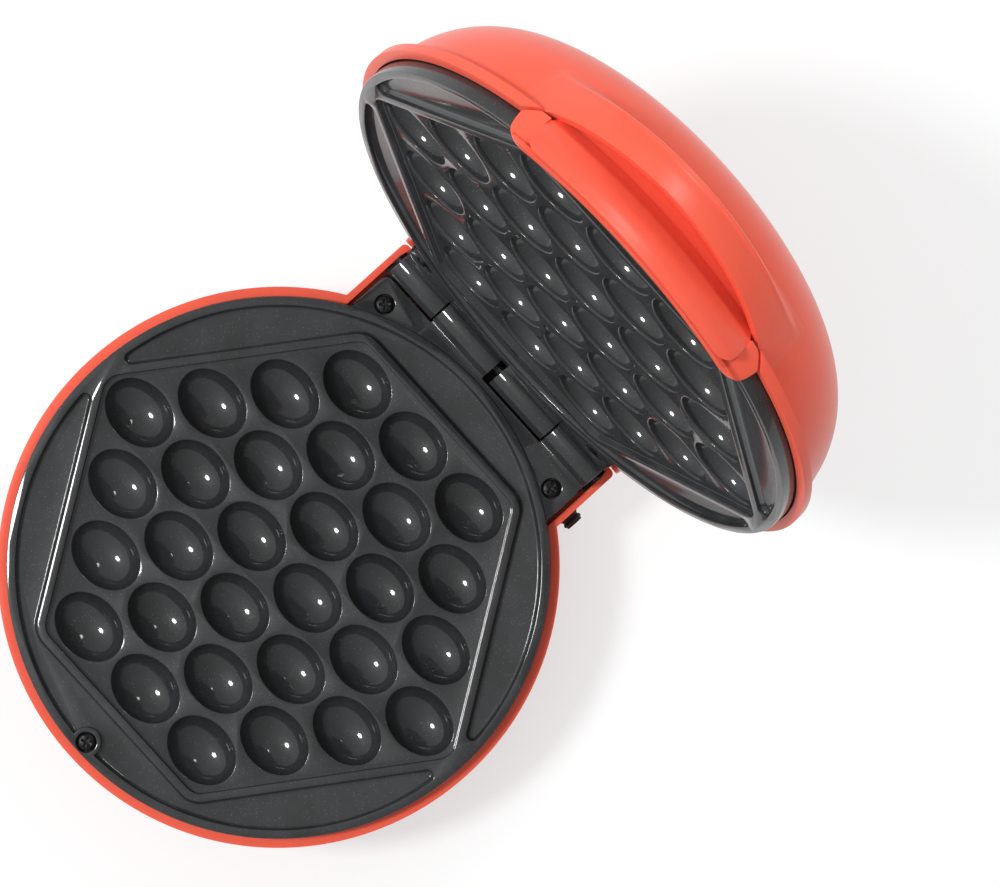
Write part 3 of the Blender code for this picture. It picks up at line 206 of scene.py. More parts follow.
# Studio
BRIGHT_SIDE = (-0.672, -0.741, 0.0)
BRIGHT_SKY = 0.80
DIM_SKY = 0.24
KEY_PLACE = (-0.69, -0.69, 1.61)
KEY_TARGET = (0, 0, 0.08)
KEY_SIZE = (0.36, 0.36)
KEY_POWER = 17.0
BACK_PLACE = (-0.19, 1.40, 1.21)
BACK_TARGET = (0, 0.12, 0.20)
BACK_SIZE = (0.26, 1.0)
BACK_POWER = 9.5
FLOOR_HALF_SIZE = 4.0
FLOOR_SHADE = (0.46, 0.48, 0.48, 1.0)
FLOOR_GLOW = 0.55

# Camera
CAMERA_PLACE = (0.00027, 0.04429 - CENTRE_FORWARD, 1.07531 + PARTING_HEIGHT)
CAMERA_TURNS = (0.86, -2.58, 47.80)
CAMERA_LENS = 104.7
CAMERA_SENSOR = 36.0
CAMERA_REACH = 20.0

# Sockets of a Mix node that mixes colours: the share and the two colours
MIX_SOCKETS = (0, 6, 7)

# Fineness: steps round or along a form
ARC_STEPS = 144
CHANNEL_STEPS = 64
CORNER_STEPS = 5
ROUND_STEPS = 40
SECTOR_STEPS = 48
DOME_STEPS = 34
BOWL_STEPS = 12
FILLET_STEPS = 8
CROWN_STEPS = 8
PIN_BORE_STEPS = 24
SCREW_BORE_STEPS = 16
ARCH_FINENESS = 3
WINDOW_FINENESS = 6
WALL_FINENESS = 4
EGG_SIDES = 40
EGG_RINGS = 24
SHARP_DEGREES = 42
OVERRUN = 0.0020
WELD = 0.000002


class Term:
    """The output of a node, written with in sums and products."""

    def __init__(self, nodes, out):
        self.nodes = nodes
        self.out = out

    def maths(self, operation, *terms):
        return self.nodes.add("ShaderNodeMath", {"operation": operation}, dict(enumerate(terms)))

    def __add__(self, other):
        return self.maths("ADD", self, other)

    __radd__ = __add__

    def __mul__(self, other):
        return self.maths("MULTIPLY", self, other)

    __rmul__ = __mul__

    def __sub__(self, other):
        return self.maths("SUBTRACT", self, other)

    def __rsub__(self, other):
        return self.maths("SUBTRACT", other, self)

    def __gt__(self, other):
        return self.maths("GREATER_THAN", self, other)

    def __lt__(self, other):
        return self.maths("LESS_THAN", self, other)

    def between(self, low, high):
        """0 below low, 1 above high, smooth in between."""
        return self.nodes.add(
            "ShaderNodeMapRange", {"interpolation_type": "SMOOTHSTEP"},
            {"Value": self, "From Min": low, "From Max": high},
        )


class Nodes:
    """The nodes of a material or a world, whose sockets take numbers or terms."""

    def __init__(self, owner):
        owner.use_nodes = True
        self.tree = owner.node_tree

    def add(self, kind, settings, inputs, out=0):
        node = self.tree.nodes.new(kind)
        for setting, value in settings.items():
            setattr(node, setting, value)
        for socket, value in inputs.items():
            self.feed(node, socket, value)
        return Term(self, node.outputs[out])

    def feed(self, node, socket, value):
        if isinstance(value, Term):
            self.tree.links.new(value.out, node.inputs[socket])
        else:
            node.inputs[socket].default_value = value

    def mix(self, share, first, second):
        return self.add("ShaderNodeMix", {"data_type": "RGBA"}, dict(zip(MIX_SOCKETS, (share, first, second))), 2)


class Finish(Nodes):
    """A material with one shader, whose patterns follow the piece's own coordinates."""

    def __init__(self, name, constants):
        self.material = bpy.data.materials.new(name)
        super().__init__(self.material)
        self.shader = self.tree.nodes["Principled BSDF"]
        self.place = self.add("ShaderNodeTexCoord", {}, {}, "Object")
        for socket, value in constants.items():
            self.set(socket, value)

    def set(self, socket, value):
        self.feed(self.shader, socket, value)

    def noise(self, scale, detail):
        return self.add("ShaderNodeTexNoise", {}, {"Vector": self.place, "Scale": scale, "Detail": detail})

    def cells(self, scale):
        return self.add("ShaderNodeTexVoronoi", {"feature": "F1"}, {"Vector": self.place, "Scale": scale})

    def between_shades(self, share, tints):
        return self.mix(share, *[shade(tint) for tint in tints])

    def bump(self, height, strength, distance):
        self.set("Normal", self.add(
            "ShaderNodeBump", {}, {"Height": height, "Strength": strength, "Distance": distance}
        ))


def shade(tint):
    """A colour from 0 to 255 as the linear one that a shader takes."""
    return tuple((value / 255) ** 2.2 for value in tint) + (1.0,)


def dimmed(tint, share):
    return tuple(value * share for value in tint)


def coral_plastic():
    """Satin coral plastic, moulded: faint mottling, fine grain in its gloss and skin."""
    finish = Finish("coral_plastic", {"IOR": 1.30, "Specular IOR Level": 0.5})
    mottle = finish.noise(scale=38, detail=2)
    grain = finish.noise(scale=2600, detail=2)
    finish.set("Base Color", finish.between_shades(mottle.between(0.35, 0.65), CORAL))
    finish.set("Roughness", grain * 0.06 + mottle * 0.04 + 0.25)
    finish.bump(grain, strength=0.10, distance=0.00005)
    return finish.material


def nonstick_coating():
    """Dark non-stick coat over cast metal: pale flecks of several sizes and a slight orange-peel skin."""
    finish = Finish("nonstick_coating", {
        "IOR": 1.5, "Specular IOR Level": 0.2, "Coat Weight": 0.85, "Coat Roughness": 0.07,
    })
    cloud = finish.noise(scale=60, detail=3)
    peel = finish.noise(scale=900, detail=3)
    fine = finish.cells(scale=1400) < 0.17
    coarse = finish.cells(scale=560) < 0.10
    thinned = finish.noise(scale=240, detail=1) > 0.52
    flecks = finish.add("ShaderNodeMath", {"operation": "MAXIMUM"}, {0: fine * thinned, 1: coarse})
    ground = finish.between_shades(cloud.between(0.3, 0.7), COATING)
    finish.set("Base Color", finish.mix(flecks * 0.20, ground, shade(COATING_FLECK)))
    finish.set("Roughness", peel * 0.14 + 0.40 + flecks * 0.06)
    finish.set("Metallic", flecks * 0.5)
    finish.bump(peel + flecks * 0.4, strength=0.16, distance=0.00008)
    return finish.material


def black_steel():
    """Blackened screw steel with worn, paler grain."""
    finish = Finish("black_steel", {"Metallic": 0.7})
    grain = finish.noise(scale=1400, detail=3)
    finish.set("Base Color", finish.between_shades(grain.between(0.55, 0.75), SCREW_BLACK))
    finish.set("Roughness", grain * 0.25 + 0.25)
    finish.bump(grain, strength=0.15, distance=0.00005)
    return finish.material


def drawn_steel(name, tint, roughness, scale):
    """Bare metal with fine mottling from rolling or drawing."""
    finish = Finish(name, {"Metallic": 1.0})
    grain = finish.noise(scale, detail=4)
    finish.set("Base Color", finish.between_shades(grain.between(0.3, 0.7), (tint, dimmed(tint, 0.8))))
    finish.set("Roughness", grain * 0.2 + roughness)
    finish.bump(grain, strength=0.12, distance=0.00005)
    return finish.material


def moulded(name, tints, roughness, scale):
    """Plain moulded rubber, plastic or ceramic with a fine grain."""
    finish = Finish(name, {})
    grain = finish.noise(scale, detail=3)
    finish.set("Base Color", finish.between_shades(grain.between(0.35, 0.65), tints))
    finish.set("Roughness", grain * 0.12 + roughness)
    finish.bump(grain, strength=0.2, distance=0.00008)
    return finish.material


def lens_plastic(name, tint):
    """Tinted clear lens over a dim core."""
    finish = Finish(name, {"IOR": 1.49, "Coat Weight": 0.6, "Coat Roughness": 0.05})
    depth = finish.noise(scale=900, detail=2)
    finish.set("Base Color", finish.between_shades(depth.between(0.3, 0.7), (tint, dimmed(tint, 0.7))))
    finish.set("Roughness", depth * 0.06 + 0.12)
    return finish.material


FINISHES = {
    "coral_plastic": coral_plastic(),
    "nonstick_coating": nonstick_coating(),
    "black_steel": black_steel(),
    "bright_steel": drawn_steel("bright_steel", (186, 188, 191), 0.22, 1100),
    "reflector_sheet": drawn_steel("reflector_sheet", (208, 209, 211), 0.28, 500),
    "black_rubber": moulded("black_rubber", ((20, 20, 21), (34, 34, 35)), 0.62, 1500),
    "grey_plastic": moulded("grey_plastic", ((46, 46, 48), (56, 56, 58)), 0.45, 1200),
    "ceramic": moulded("ceramic", ((214, 209, 197), (232, 228, 219)), 0.55, 1700),
    "red_lens": lens_plastic("red_lens", (190, 24, 20)),
    "green_lens": lens_plastic("green_lens", (28, 150, 60)),
}


def add_mesh(name, bm):
    bmesh.ops.recalc_face_normals(bm, faces=bm.faces)
    if bm.calc_volume(signed=True) < 0:
        bmesh.ops.reverse_faces(bm, faces=bm.faces)
    mesh = bpy.data.meshes.new(name)
    bm.to_mesh(mesh)
    bm.free()
    obj = bpy.data.objects.new(name, mesh)
    bpy.context.scene.collection.objects.link(obj)
    return obj


def loft(name, rings, closed=False):
    """A solid extruded through rings of as many points each, capped or, when closed, back into its first ring."""
    bm = bmesh.new()
    verts = [bm.verts.new(point) for point in rings[0]]
    first = edges = [bm.edges.new(pair) for pair in zip(verts, verts[1:] + verts[:1])]
    for ring in rings[1:] + (rings[:1] if closed else []):
        grown = bmesh.ops.extrude_edge_only(bm, edges=edges)["geom"]
        edges = [item for item in grown if isinstance(item, bmesh.types.BMEdge)]
        verts = [item for item in grown if isinstance(item, bmesh.types.BMVert)]
        for vert, point in zip(verts, ring):
            vert.co = point
    if closed:
        bmesh.ops.remove_doubles(bm, verts=bm.verts, dist=WELD)
    else:
        bmesh.ops.contextual_create(bm, geom=first)
        bmesh.ops.contextual_create(bm, geom=edges)
    return add_mesh(name, bm)


def level(points, z):
    return [(x, y, z) for x, y in points]


def slab(name, points, low, high):
    return loft(name, [level(points, low), level(points, high)])


def circle(radius, centre=(0.0, 0.0), steps=ROUND_STEPS):
    turns = [2 * math.pi * step / steps for step in range(steps)]
    return [(centre[0] + radius * math.cos(turn), centre[1] + radius * math.sin(turn)) for turn in turns]


def turned(name, profile):
    """A solid of revolution about Z from (radius, height) points that run from the axis and back to it."""
    bm = bmesh.new()
    verts = [bm.verts.new((radius, 0.0, height)) for radius, height in profile]
    edges = [bm.edges.new(pair) for pair in zip(verts, verts[1:])]
    bmesh.ops.spin(
        bm, geom=verts + edges, cent=(0, 0, 0), axis=(0, 0, 1), dvec=(0, 0, 0),
        angle=2 * math.pi, steps=ROUND_STEPS, use_merge=True, use_duplicate=False,
    )
    bmesh.ops.remove_doubles(bm, verts=bm.verts, dist=WELD)
    return add_mesh(name, bm)


def bar(name, start, end, radius, steps=ROUND_STEPS):
    run = Vector(end) - Vector(start)
    bm = bmesh.new()
    bmesh.ops.create_cone(
        bm, cap_ends=True, segments=steps, radius1=radius, radius2=radius, depth=run.length,
        matrix=Matrix.Translation((Vector(start) + Vector(end)) / 2)
        @ Vector((0, 0, 1)).rotation_difference(run).to_matrix().to_4x4(),
    )
    return add_mesh(name, bm)


def block(name, low, high):
    size = Vector(high) - Vector(low)
    bm = bmesh.new()
    bmesh.ops.create_cube(
        bm, size=1.0, matrix=Matrix.Translation((Vector(low) + Vector(high)) / 2) @ Matrix.Diagonal((*size, 1.0))
    )
    return add_mesh(name, bm)


def apply_modifiers(obj):
    bpy.context.view_layer.update()
    graph = bpy.context.evaluated_depsgraph_get()
    mesh = bpy.data.meshes.new_from_object(obj.evaluated_get(graph))
    obj.modifiers.clear()
    obj.data = mesh
    return obj


def combine(target, tool, operation):
    modifier = target.modifiers.new("join", "BOOLEAN")
    modifier.operation = operation
    modifier.solver = "EXACT"
    modifier.object = tool
    apply_modifiers(target)
    bpy.data.objects.remove(tool, do_unlink=True)
    return target


def put_in_order(mesh):
    """Sorts points, edges and faces by where they are, because a Boolean's own order differs from run to run."""
    bm = bmesh.new()
    bm.from_mesh(mesh)
    by_place = sorted(bm.verts, key=lambda vert: tuple(vert.co))
    rank = {vert: number for number, vert in enumerate(by_place)}
    for items in (bm.edges, bm.faces):
        by_rank = sorted(items, key=lambda item: sorted(rank[vert] for vert in item.verts))
        number_of = {item: number for number, item in enumerate(by_rank)}
        items.sort(key=lambda item: number_of[item])
    bm.verts.sort(key=lambda vert: rank[vert])
    bm.to_mesh(mesh)
    bm.free()


def weld_slivers(mesh, distance):
    bm = bmesh.new()
    bm.from_mesh(mesh)
    bmesh.ops.remove_doubles(bm, verts=bm.verts, dist=distance)
    bmesh.ops.dissolve_degenerate(bm, edges=bm.edges, dist=distance)
    bm.to_mesh(mesh)
    bm.free()


def ease(obj, width, segments, angle, weld=0.0):
    """Rounds the edges of a piece that turn by more than an angle.

    A weld joins points that lie closer than its distance first, so no sliver holds the rounding back.
    """
    put_in_order(obj.data)
    if weld:
        weld_slivers(obj.data, weld)
    modifier = obj.modifiers.new("edges", "BEVEL")
    modifier.width = width
    modifier.segments = segments
    modifier.limit_method = "ANGLE"
    modifier.angle_limit = math.radians(angle)
    modifier.use_clamp_overlap = not weld
    return apply_modifiers(obj)


def rounded(corners, radii):
    """A polygon with each corner replaced by an arc of its own radius; a radius of zero leaves the corner."""
    points = []
    for index, (corner, radius) in enumerate(zip(corners, radii)):
        here = Vector(corner)
        to_last = (Vector(corners[index - 1]) - here).normalized()
        to_next = (Vector(corners[(index + 1) % len(corners)]) - here).normalized()
        if not radius:
            points.append(tuple(here))
            continue
        half = to_last.angle(to_next) / 2
        centre = here + (to_last + to_next).normalized() * radius / math.sin(half)
        start = here + to_last * radius / math.tan(half) - centre
        end = here + to_next * radius / math.tan(half) - centre
        for step in range(FILLET_STEPS + 1):
            points.append(tuple(centre + start.lerp(end, step / FILLET_STEPS).normalized() * radius))
    return points


def field_hexagon(margin):
    """The egg field's corners, moved outwards by a margin."""
    length, corner, width = FIELD_ENDS
    side = Vector((length - corner, width))
    length += margin * side.length / side.y
    corner += margin * (side.length - side.x) / side.y
    width += margin
    return [(length, 0.0), (corner, width), (-corner, width), (-length, 0.0), (-corner, -width), (corner, -width)]


def plan_outline(radius, half_width, back, corner=BOX_CORNER, fade=0.0):
    """A circle joined to the box behind it, round the hinge; fade draws the box back to the circle."""
    turn = math.acos(half_width / radius)
    sweep = math.pi + 2 * turn
    points = [
        (radius * math.cos(turn - sweep * step / ARC_STEPS), radius * math.sin(turn - sweep * step / ARC_STEPS))
        for step in range(ARC_STEPS + 1)
    ]
    for side, first in ((-1, math.pi), (1, math.pi / 2)):
        for step in range(CORNER_STEPS + 1):
            angle = first - math.pi / 2 * step / CORNER_STEPS
            points.append((
                side * (half_width - corner) + corner * math.cos(angle), back - corner + corner * math.sin(angle),
            ))
    shares = [1 + (radius / math.hypot(x, y) - 1) * fade for x, y in points]
    return [(x * share, y * share) for (x, y), share in zip(points, shares)]


def plate_outline(inset):
    """The plate's plan with its hinge pad."""
    corner = max(PAD_CORNER - inset, LEAST_CORNER)
    return plan_outline(PLATE_RADIUS - inset, PAD_HALF_WIDTH - inset, PAD_BACK - inset, corner)


def channel_outline(inset):
    """The overflow channel on the front side, from tip to tip round the ridge and back along the bead."""
    ridge = field_hexagon(RIDGE_WIDTH + inset)
    (length, _), (corner, width) = ridge[0], ridge[1]
    tip = CHANNEL_TIP_GAP / 2 + inset
    tip_inside = length - (length - corner) * tip / width
    radius = PLATE_RADIUS - BEAD_WIDTH - inset
    tip_turn = math.asin(tip / radius)
    turns = [tip_turn + (math.pi - 2 * tip_turn) * step / CHANNEL_STEPS for step in range(CHANNEL_STEPS + 1)]
    arc = [(-radius * math.cos(turn), -radius * math.sin(turn)) for turn in turns]
    corners = [(tip_inside, -tip), (corner, -width), (-corner, -width), (-tip_inside, -tip)] + arc
    round_corner = FIELD_CORNER_RADIUS + RIDGE_WIDTH + inset
    tip_radius = CHANNEL_TIP_RADIUS - inset
    radii = [tip_radius, round_corner, round_corner, tip_radius, tip_radius] + [0.0] * (len(arc) - 2) + [tip_radius]
    return rounded(corners, radii)


def channel_cutter(side):
    """The channel with sloped sides, for the front side or, turned over, for the hinge side."""
    floor = -PLATE_TOP - CHANNEL_DEPTH
    rings = [(CHANNEL_DRAFT, floor), (0.0, floor + CHANNEL_DRAFT), (0.0, OVERRUN)]
    return loft("channel", [[(x, side * y, z) for x, y, z in level(channel_outline(i), z)] for i, z in rings])


def egg_cutters():
    """An ellipsoid for each egg cavity, its middle on the field's floor."""
    bm = bmesh.new()
    floor = PLATE_TOP + FIELD_DEPTH
    length, width, depth = EGG_SIZE
    for row, count in enumerate(EGG_ROWS):
        y = (row - (len(EGG_ROWS) - 1) / 2) * EGG_PITCH[1]
        for place in range(count):
            x = (place - (count - 1) / 2) * EGG_PITCH[0]
            bmesh.ops.create_uvsphere(
                bm, u_segments=EGG_SIDES, v_segments=EGG_RINGS, radius=1.0,
                matrix=Matrix.Translation((x, y, -floor)) @ Matrix.Diagonal((length / 2, width / 2, depth, 1.0)),
            )
    return add_mesh("eggs", bm)


def make_plate():
    """The cast plate with rim bead, channels, ridge, field, egg cavities, hinge pad and knuckles."""
    top = PLATE_TOP
    plate = loft("plate", [
        level(plate_outline(0.0), -top), level(plate_outline(0.0), -RIM_DEPTH),
        level(plate_outline(BODY_INSET - WELD), -RIM_DEPTH), level(plate_outline(BODY_INSET - WELD), -PLATE_DEPTH),
    ])
    bow = [(x, y) for x, y in circle(PLATE_RADIUS, steps=2 * ARC_STEPS) if y > 0 and abs(x) < PAD_HALF_WIDTH]
    side, back = PAD_HALF_WIDTH + OVERRUN, PAD_BACK + OVERRUN
    pad = bow + [(-side, bow[-1][1]), (-side, back), (side, back), (side, bow[0][1])]
    combine(plate, slab("pad", pad, -top - PAD_DROP, OVERRUN), "DIFFERENCE")
    for low, high in KNUCKLE_SPANS:
        web = block("web", (low, PAD_BACK - KNUCKLE_RADIUS, -WEB_DEPTH), (high, HINGE_BACK, -top - PAD_DROP))
        combine(plate, web, "UNION")
        combine(plate, bar("knuckle", (low, HINGE_BACK, 0), (high, HINGE_BACK, 0), KNUCKLE_RADIUS), "UNION")
    reach = KNUCKLE_SPANS[1][1] + OVERRUN
    bore = bar("bore", (-reach, HINGE_BACK, 0), (reach, HINGE_BACK, 0), PIN_BORE, PIN_BORE_STEPS)
    combine(plate, bore, "DIFFERENCE")

    front = channel_cutter(1)
    collar = slab("collar", circle(SCREW_COLLAR, SCREW_PLACES[0]), -top - CHANNEL_DEPTH - OVERRUN, 2 * OVERRUN)
    combine(front, collar, "DIFFERENCE")
    combine(plate, front, "DIFFERENCE")
    combine(plate, channel_cutter(-1), "DIFFERENCE")
    hexagon = rounded(field_hexagon(0.0), [FIELD_CORNER_RADIUS] * 6)
    combine(plate, slab("field", hexagon, -top - FIELD_DEPTH, OVERRUN), "DIFFERENCE")
    combine(plate, egg_cutters(), "DIFFERENCE")
    for place in SCREW_PLACES:
        seat_radius, seat_depth = SCREW_SEAT
        combine(plate, slab("seat", circle(seat_radius, place), -top - seat_depth, OVERRUN), "DIFFERENCE")
        hole = slab("hole", circle(SCREW_BORE, place, SCREW_BORE_STEPS), -PLATE_DEPTH - OVERRUN, OVERRUN)
        combine(plate, hole, "DIFFERENCE")
    return ease(plate, *PLATE_EASE, weld=PLATE_WELD)


def lip_insets():
    return [(LIP_DEPTH, 0.0), (LIP_END, 0.0)]


def bowl_insets(wall=0.0):
    """Depths down the bowl and how far its wall, or the inside of that wall, stands in from the lip there."""
    insets = [(WALL_START, LIP_STEP), (BOWL_STRAIGHT_DEPTH, LIP_STEP + BOWL_DRAFT)]
    rise, run = BASE_DEPTH - wall - BOWL_STRAIGHT_DEPTH, BOWL_ROUND - wall
    for index in range(1, BOWL_STEPS + 1):
        angle = math.pi / 2 * index / BOWL_STEPS
        inset = LIP_STEP + BOWL_DRAFT + run * (1 - math.cos(angle))
        insets.append((BOWL_STRAIGHT_DEPTH + rise * math.sin(angle), inset))
    return insets


def base_ring(depth, inset, wall=0.0):
    """The shells' plan at a depth, where the hinge box draws in less than the round does."""
    box_inset = inset * BOX_INSET_SHARE + wall
    outline = plan_outline(SHELL_RADIUS - inset - wall, BOX_HALF_WIDTH - box_inset, BOX_BACK - box_inset)
    return level(outline, -depth)


def mouth_rings(sign):
    """The opening that the plate sits in; sign tells the base, -1, from the lid, 1."""
    outline = plan_outline(OPENING_RADIUS, MOUTH_HALF_WIDTH, BOX_BACK - WALL)
    return [level(outline, sign * LIP_END), level(outline, sign * LIP_DEPTH)]


def relief_cutter(half_width, side):
    """Takes the edge of a hinge box back where the knuckles turn; side tells the base from the lid."""
    start, depth = RELIEF
    low, high = sorted((side * depth, -side * OVERRUN))
    return block("relief", (-half_width, start, low), (half_width, BOX_BACK + OVERRUN, high))


def make_base_shell():
    """The base's wall with its rounded lip, step, draft and foot flange."""
    floor_inset = bowl_insets()[-1][1]
    outer = [base_ring(depth, inset) for depth, inset in lip_insets() + bowl_insets()]
    flange = [base_ring(depth, floor_inset, BOWL_FLANGE) for depth in (BASE_DEPTH, BASE_DEPTH - WALL)]
    inner = [base_ring(depth, inset, WALL) for depth, inset in reversed(bowl_insets(WALL))]
    shell = loft("base_shell", outer + flange + inner + mouth_rings(-1), closed=True)
    y, depth = GLAND_PLACE
    hole = bar("hole", (BOX_HALF_WIDTH - 4 * WALL, y, -depth), (BOX_HALF_WIDTH + WALL, y, -depth), GLAND_BORE)
    combine(shell, hole, "DIFFERENCE")
    combine(shell, relief_cutter(RELIEF_HALF_WIDTH, -1), "DIFFERENCE")
    return ease(shell, *BASE_EASE)


def dome_radius(share, wall=0.0):
    """The dome's radius at a share of its height."""
    rise_power, side_power = DOME_POWERS
    return (SHELL_RADIUS - LIP_STEP - wall) * (1 - share ** rise_power) ** (1 / side_power)


def dome_skin(height):
    return dome_radius((height - DOME_ORIGIN) / (LID_HEIGHT - DOME_ORIGIN))


def dome_rings(wall=0.0):
    """The lid's outlines up the dome, closer together towards its top, where the hinge box fades out."""
    start = (WALL_START - DOME_ORIGIN) / (LID_HEIGHT - DOME_ORIGIN)
    low, high = BOX_FADE_SHARES
    rings = []
    for step in range(DOME_STEPS + 1):
        turn = math.pi / 2 * step / DOME_STEPS
        share = start + (DOME_TOP_SHARE - start) * math.sin(turn)
        radius = dome_radius(share, wall)
        scale = radius / (SHELL_RADIUS - LIP_STEP - wall)
        fade = min(max((share - low) / (high - low), 0.0), 1.0)
        inset = LIP_STEP * BOX_INSET_SHARE + wall
        outline = plan_outline(
            radius, (BOX_HALF_WIDTH - inset) * scale, (BOX_BACK - inset) * scale, fade=fade * fade * (3 - 2 * fade)
        )
        rings.append(level(outline, DOME_ORIGIN + (LID_HEIGHT - wall - DOME_ORIGIN) * share))
    return rings


def handle_bulge(angle, share):
    """How far the arch stands out of the dome at an angle from the middle."""
    return HANDLE_REACH * share * max(1 - (angle / HANDLE_HALF_ANGLE) ** 2, 0.0) ** ARCH_PLAN_POWER


def through(rows, steps):
    """Rows on a smooth curve through the given ones."""
    padded = (rows[0],) + tuple(rows) + (rows[-1],)
    finer = []
    for before, here, there, after in zip(padded, padded[1:], padded[2:], padded[3:]):
        for step in range(steps):
            share = step / steps
            finer.append(tuple(
                0.5 * (2 * b + (c - a) * share + (2 * a - 5 * b + 4 * c - d) * share ** 2
                       + (3 * b - a - 3 * c + d) * share ** 3)
                for a, b, c, d in zip(before, here, there, after)
            ))
    return finer + [rows[-1]]


def sector(name, rows):
    """A solid swept round the front through rows of (height, half angle, inner radius, outer radius at an angle)."""
    rings = []
    for height, half_angle, inner, outer in rows:
        angles = [half_angle * (2 * step / SECTOR_STEPS - 1) for step in range(SECTOR_STEPS + 1)]
        there = [(outer(angle), math.radians(angle)) for angle in angles]
        back = [(inner, math.radians(angle)) for angle in reversed(angles)]
        rings.append([(radius * math.sin(turn), -radius * math.cos(turn), height) for radius, turn in there + back])
    return loft(name, rings)


def make_arch():
    """The handle's strap: a flat face with a bead along its back edge, and a steep back down to the dome."""
    rows = []
    for height, share in through(ARCH_ROWS, ARCH_FINENESS):
        skin = dome_skin(height)
        rows.append((
            height, HANDLE_HALF_ANGLE, skin - WALL / 2,
            lambda angle, skin=skin, share=share: skin + handle_bulge(angle, share),
        ))
    return sector("arch", rows)


def make_hollow_cutter():
    """The room for the fingers behind the arch."""
    rows = []
    for height, half_angle in HOLLOW_ROWS:
        inside = dome_skin(max(height, ARCH_START)) - ARCH_THICKNESS
        rows.append((
            height, half_angle, HOLLOW_BACK, lambda angle, inside=inside: inside + handle_bulge(angle, 1.0),
        ))
    return sector("hollow", rows)


def make_lid_shell():
    """The lid's dome with its lip, hinge box, handle arch and finger hollow."""
    lip = [[(x, y, -z) for x, y, z in base_ring(depth, inset)] for depth, inset in lip_insets()]
    shell = loft("lid_shell", dome_rings()[::-1] + lip[::-1] + mouth_rings(1)[::-1] + dome_rings(WALL))
    combine(shell, relief_cutter(BOX_HALF_WIDTH + OVERRUN, 1), "DIFFERENCE")
    combine(shell, make_arch(), "UNION")
    front = SHELL_RADIUS + HANDLE_REACH + OVERRUN
    window_rows = [(LIP_DEPTH - OVERRUN, WINDOW_ROWS[0][1])] + through(WINDOW_ROWS, WINDOW_FINENESS)
    window = sector("window", [
        (height, half_angle, HOLLOW_BACK, lambda angle: front) for height, half_angle in window_rows
    ])
    combine(shell, window, "DIFFERENCE")
    combine(shell, make_hollow_cutter(), "DIFFERENCE")
    for place in LENS_PLACES:
        combine(shell, slab("bore", circle(LENS_BORE, place), LID_HEIGHT / 2, LID_HEIGHT + OVERRUN), "DIFFERENCE")
    return ease(shell, *LID_EASE)


def make_tongue():
    """The finger wall under the arch, leaning in to its top."""
    rows = []
    for height, half_angle, lean in through(TONGUE_ROWS, WALL_FINENESS):
        inner = TONGUE_FOOT_RADIUS - TONGUE_LEAN * lean
        rows.append((height, half_angle, inner, lambda angle, inner=inner: inner + TONGUE_THICKNESS))
    return ease(sector("tongue", rows), *TONGUE_EASE)


def make_lip_wall():
    """The curved wall below the tongue, with an ear at each end that stands up beside it."""
    inner, thick, thin = LIP_WALL
    rows = []
    for height, half_angle in through(LIP_WALL_ROWS, WALL_FINENESS):
        width = thick if height <= LIP_WALL_THICK_END else thin
        rows.append((height, half_angle, inner, lambda angle, width=width: inner + width))
    cut = sector("cut", [
        (height, LIP_WALL_CUT_HALF_ANGLE, inner - OVERRUN, lambda angle: inner + thick + OVERRUN)
        for height in (LIP_WALL_CUT, LIP_WALL_ROWS[-1][0] + OVERRUN)
    ])
    return ease(combine(sector("lip", rows), cut, "DIFFERENCE"), *LIP_EASE)


def make_gland():
    """The cord gland: a collar with rounded ribs, blind bored, on the right wall of the hinge box."""
    y, depth = GLAND_PLACE
    wall = BOX_HALF_WIDTH - GLAND_WALL_INSET
    end = wall + GLAND_REACH
    head, neck, rib = GLAND_HEAD_RADIUS, GLAND_NECK_RADIUS, GLAND_RIB_RADIUS
    head_start, head_end = (wall - distance for distance in GLAND_HEAD_SPAN)
    hole, hole_depth = GLAND_HOLE
    pitch = (GLAND_REACH - GLAND_RIB_START) / GLAND_RIB_COUNT
    rise, crest, foot = (pitch * share for share in GLAND_RIB_SHARES)
    profile = [(0.0, head_start), (head, head_start), (head, head_end), (neck, head_end)]
    for ring in range(GLAND_RIB_COUNT):
        low = wall + GLAND_RIB_START + ring * pitch
        profile += [(neck, low), (rib, low + rise), (rib, low + crest), (neck, low + foot)]
    profile += [(neck, end), (hole, end), (hole, end - hole_depth), (0.0, end - hole_depth)]
    gland = turned("gland", profile)
    gland.data.transform(Matrix.Translation((0, y, -depth)) @ Matrix.Rotation(math.pi / 2, 4, "Y"))
    return ease(gland, *GLAND_EASE)


def make_screw():
    """A pan-head screw, its head's underside at the origin, with a rounded crown and a cross recess."""
    head, shank = SCREW_HEAD_RADIUS, SCREW_SHANK_RADIUS
    turns = [math.pi / 2 * step / CROWN_STEPS for step in range(CROWN_STEPS + 1)]
    crown = [(head * math.sin(turn), SCREW_HEAD_SIDE + SCREW_HEAD_CROWN * math.cos(turn)) for turn in turns]
    screw = turned("screw", crown + [(head, 0.0), (shank, 0.0), (shank, -SCREW_LENGTH), (0.0, -SCREW_LENGTH)])
    above = SCREW_HEAD_SIDE + SCREW_HEAD_CROWN + OVERRUN
    for turn in (0, math.pi / 2):
        slot = block(
            "slot", (-SLOT_HALF_LENGTH, -SLOT_HALF_WIDTH, SLOT_FLOOR), (SLOT_HALF_LENGTH, SLOT_HALF_WIDTH, above)
        )
        slot.data.transform(Matrix.Rotation(turn, 4, "Z"))
        combine(screw, slot, "DIFFERENCE")
    return ease(screw, *SCREW_EASE)


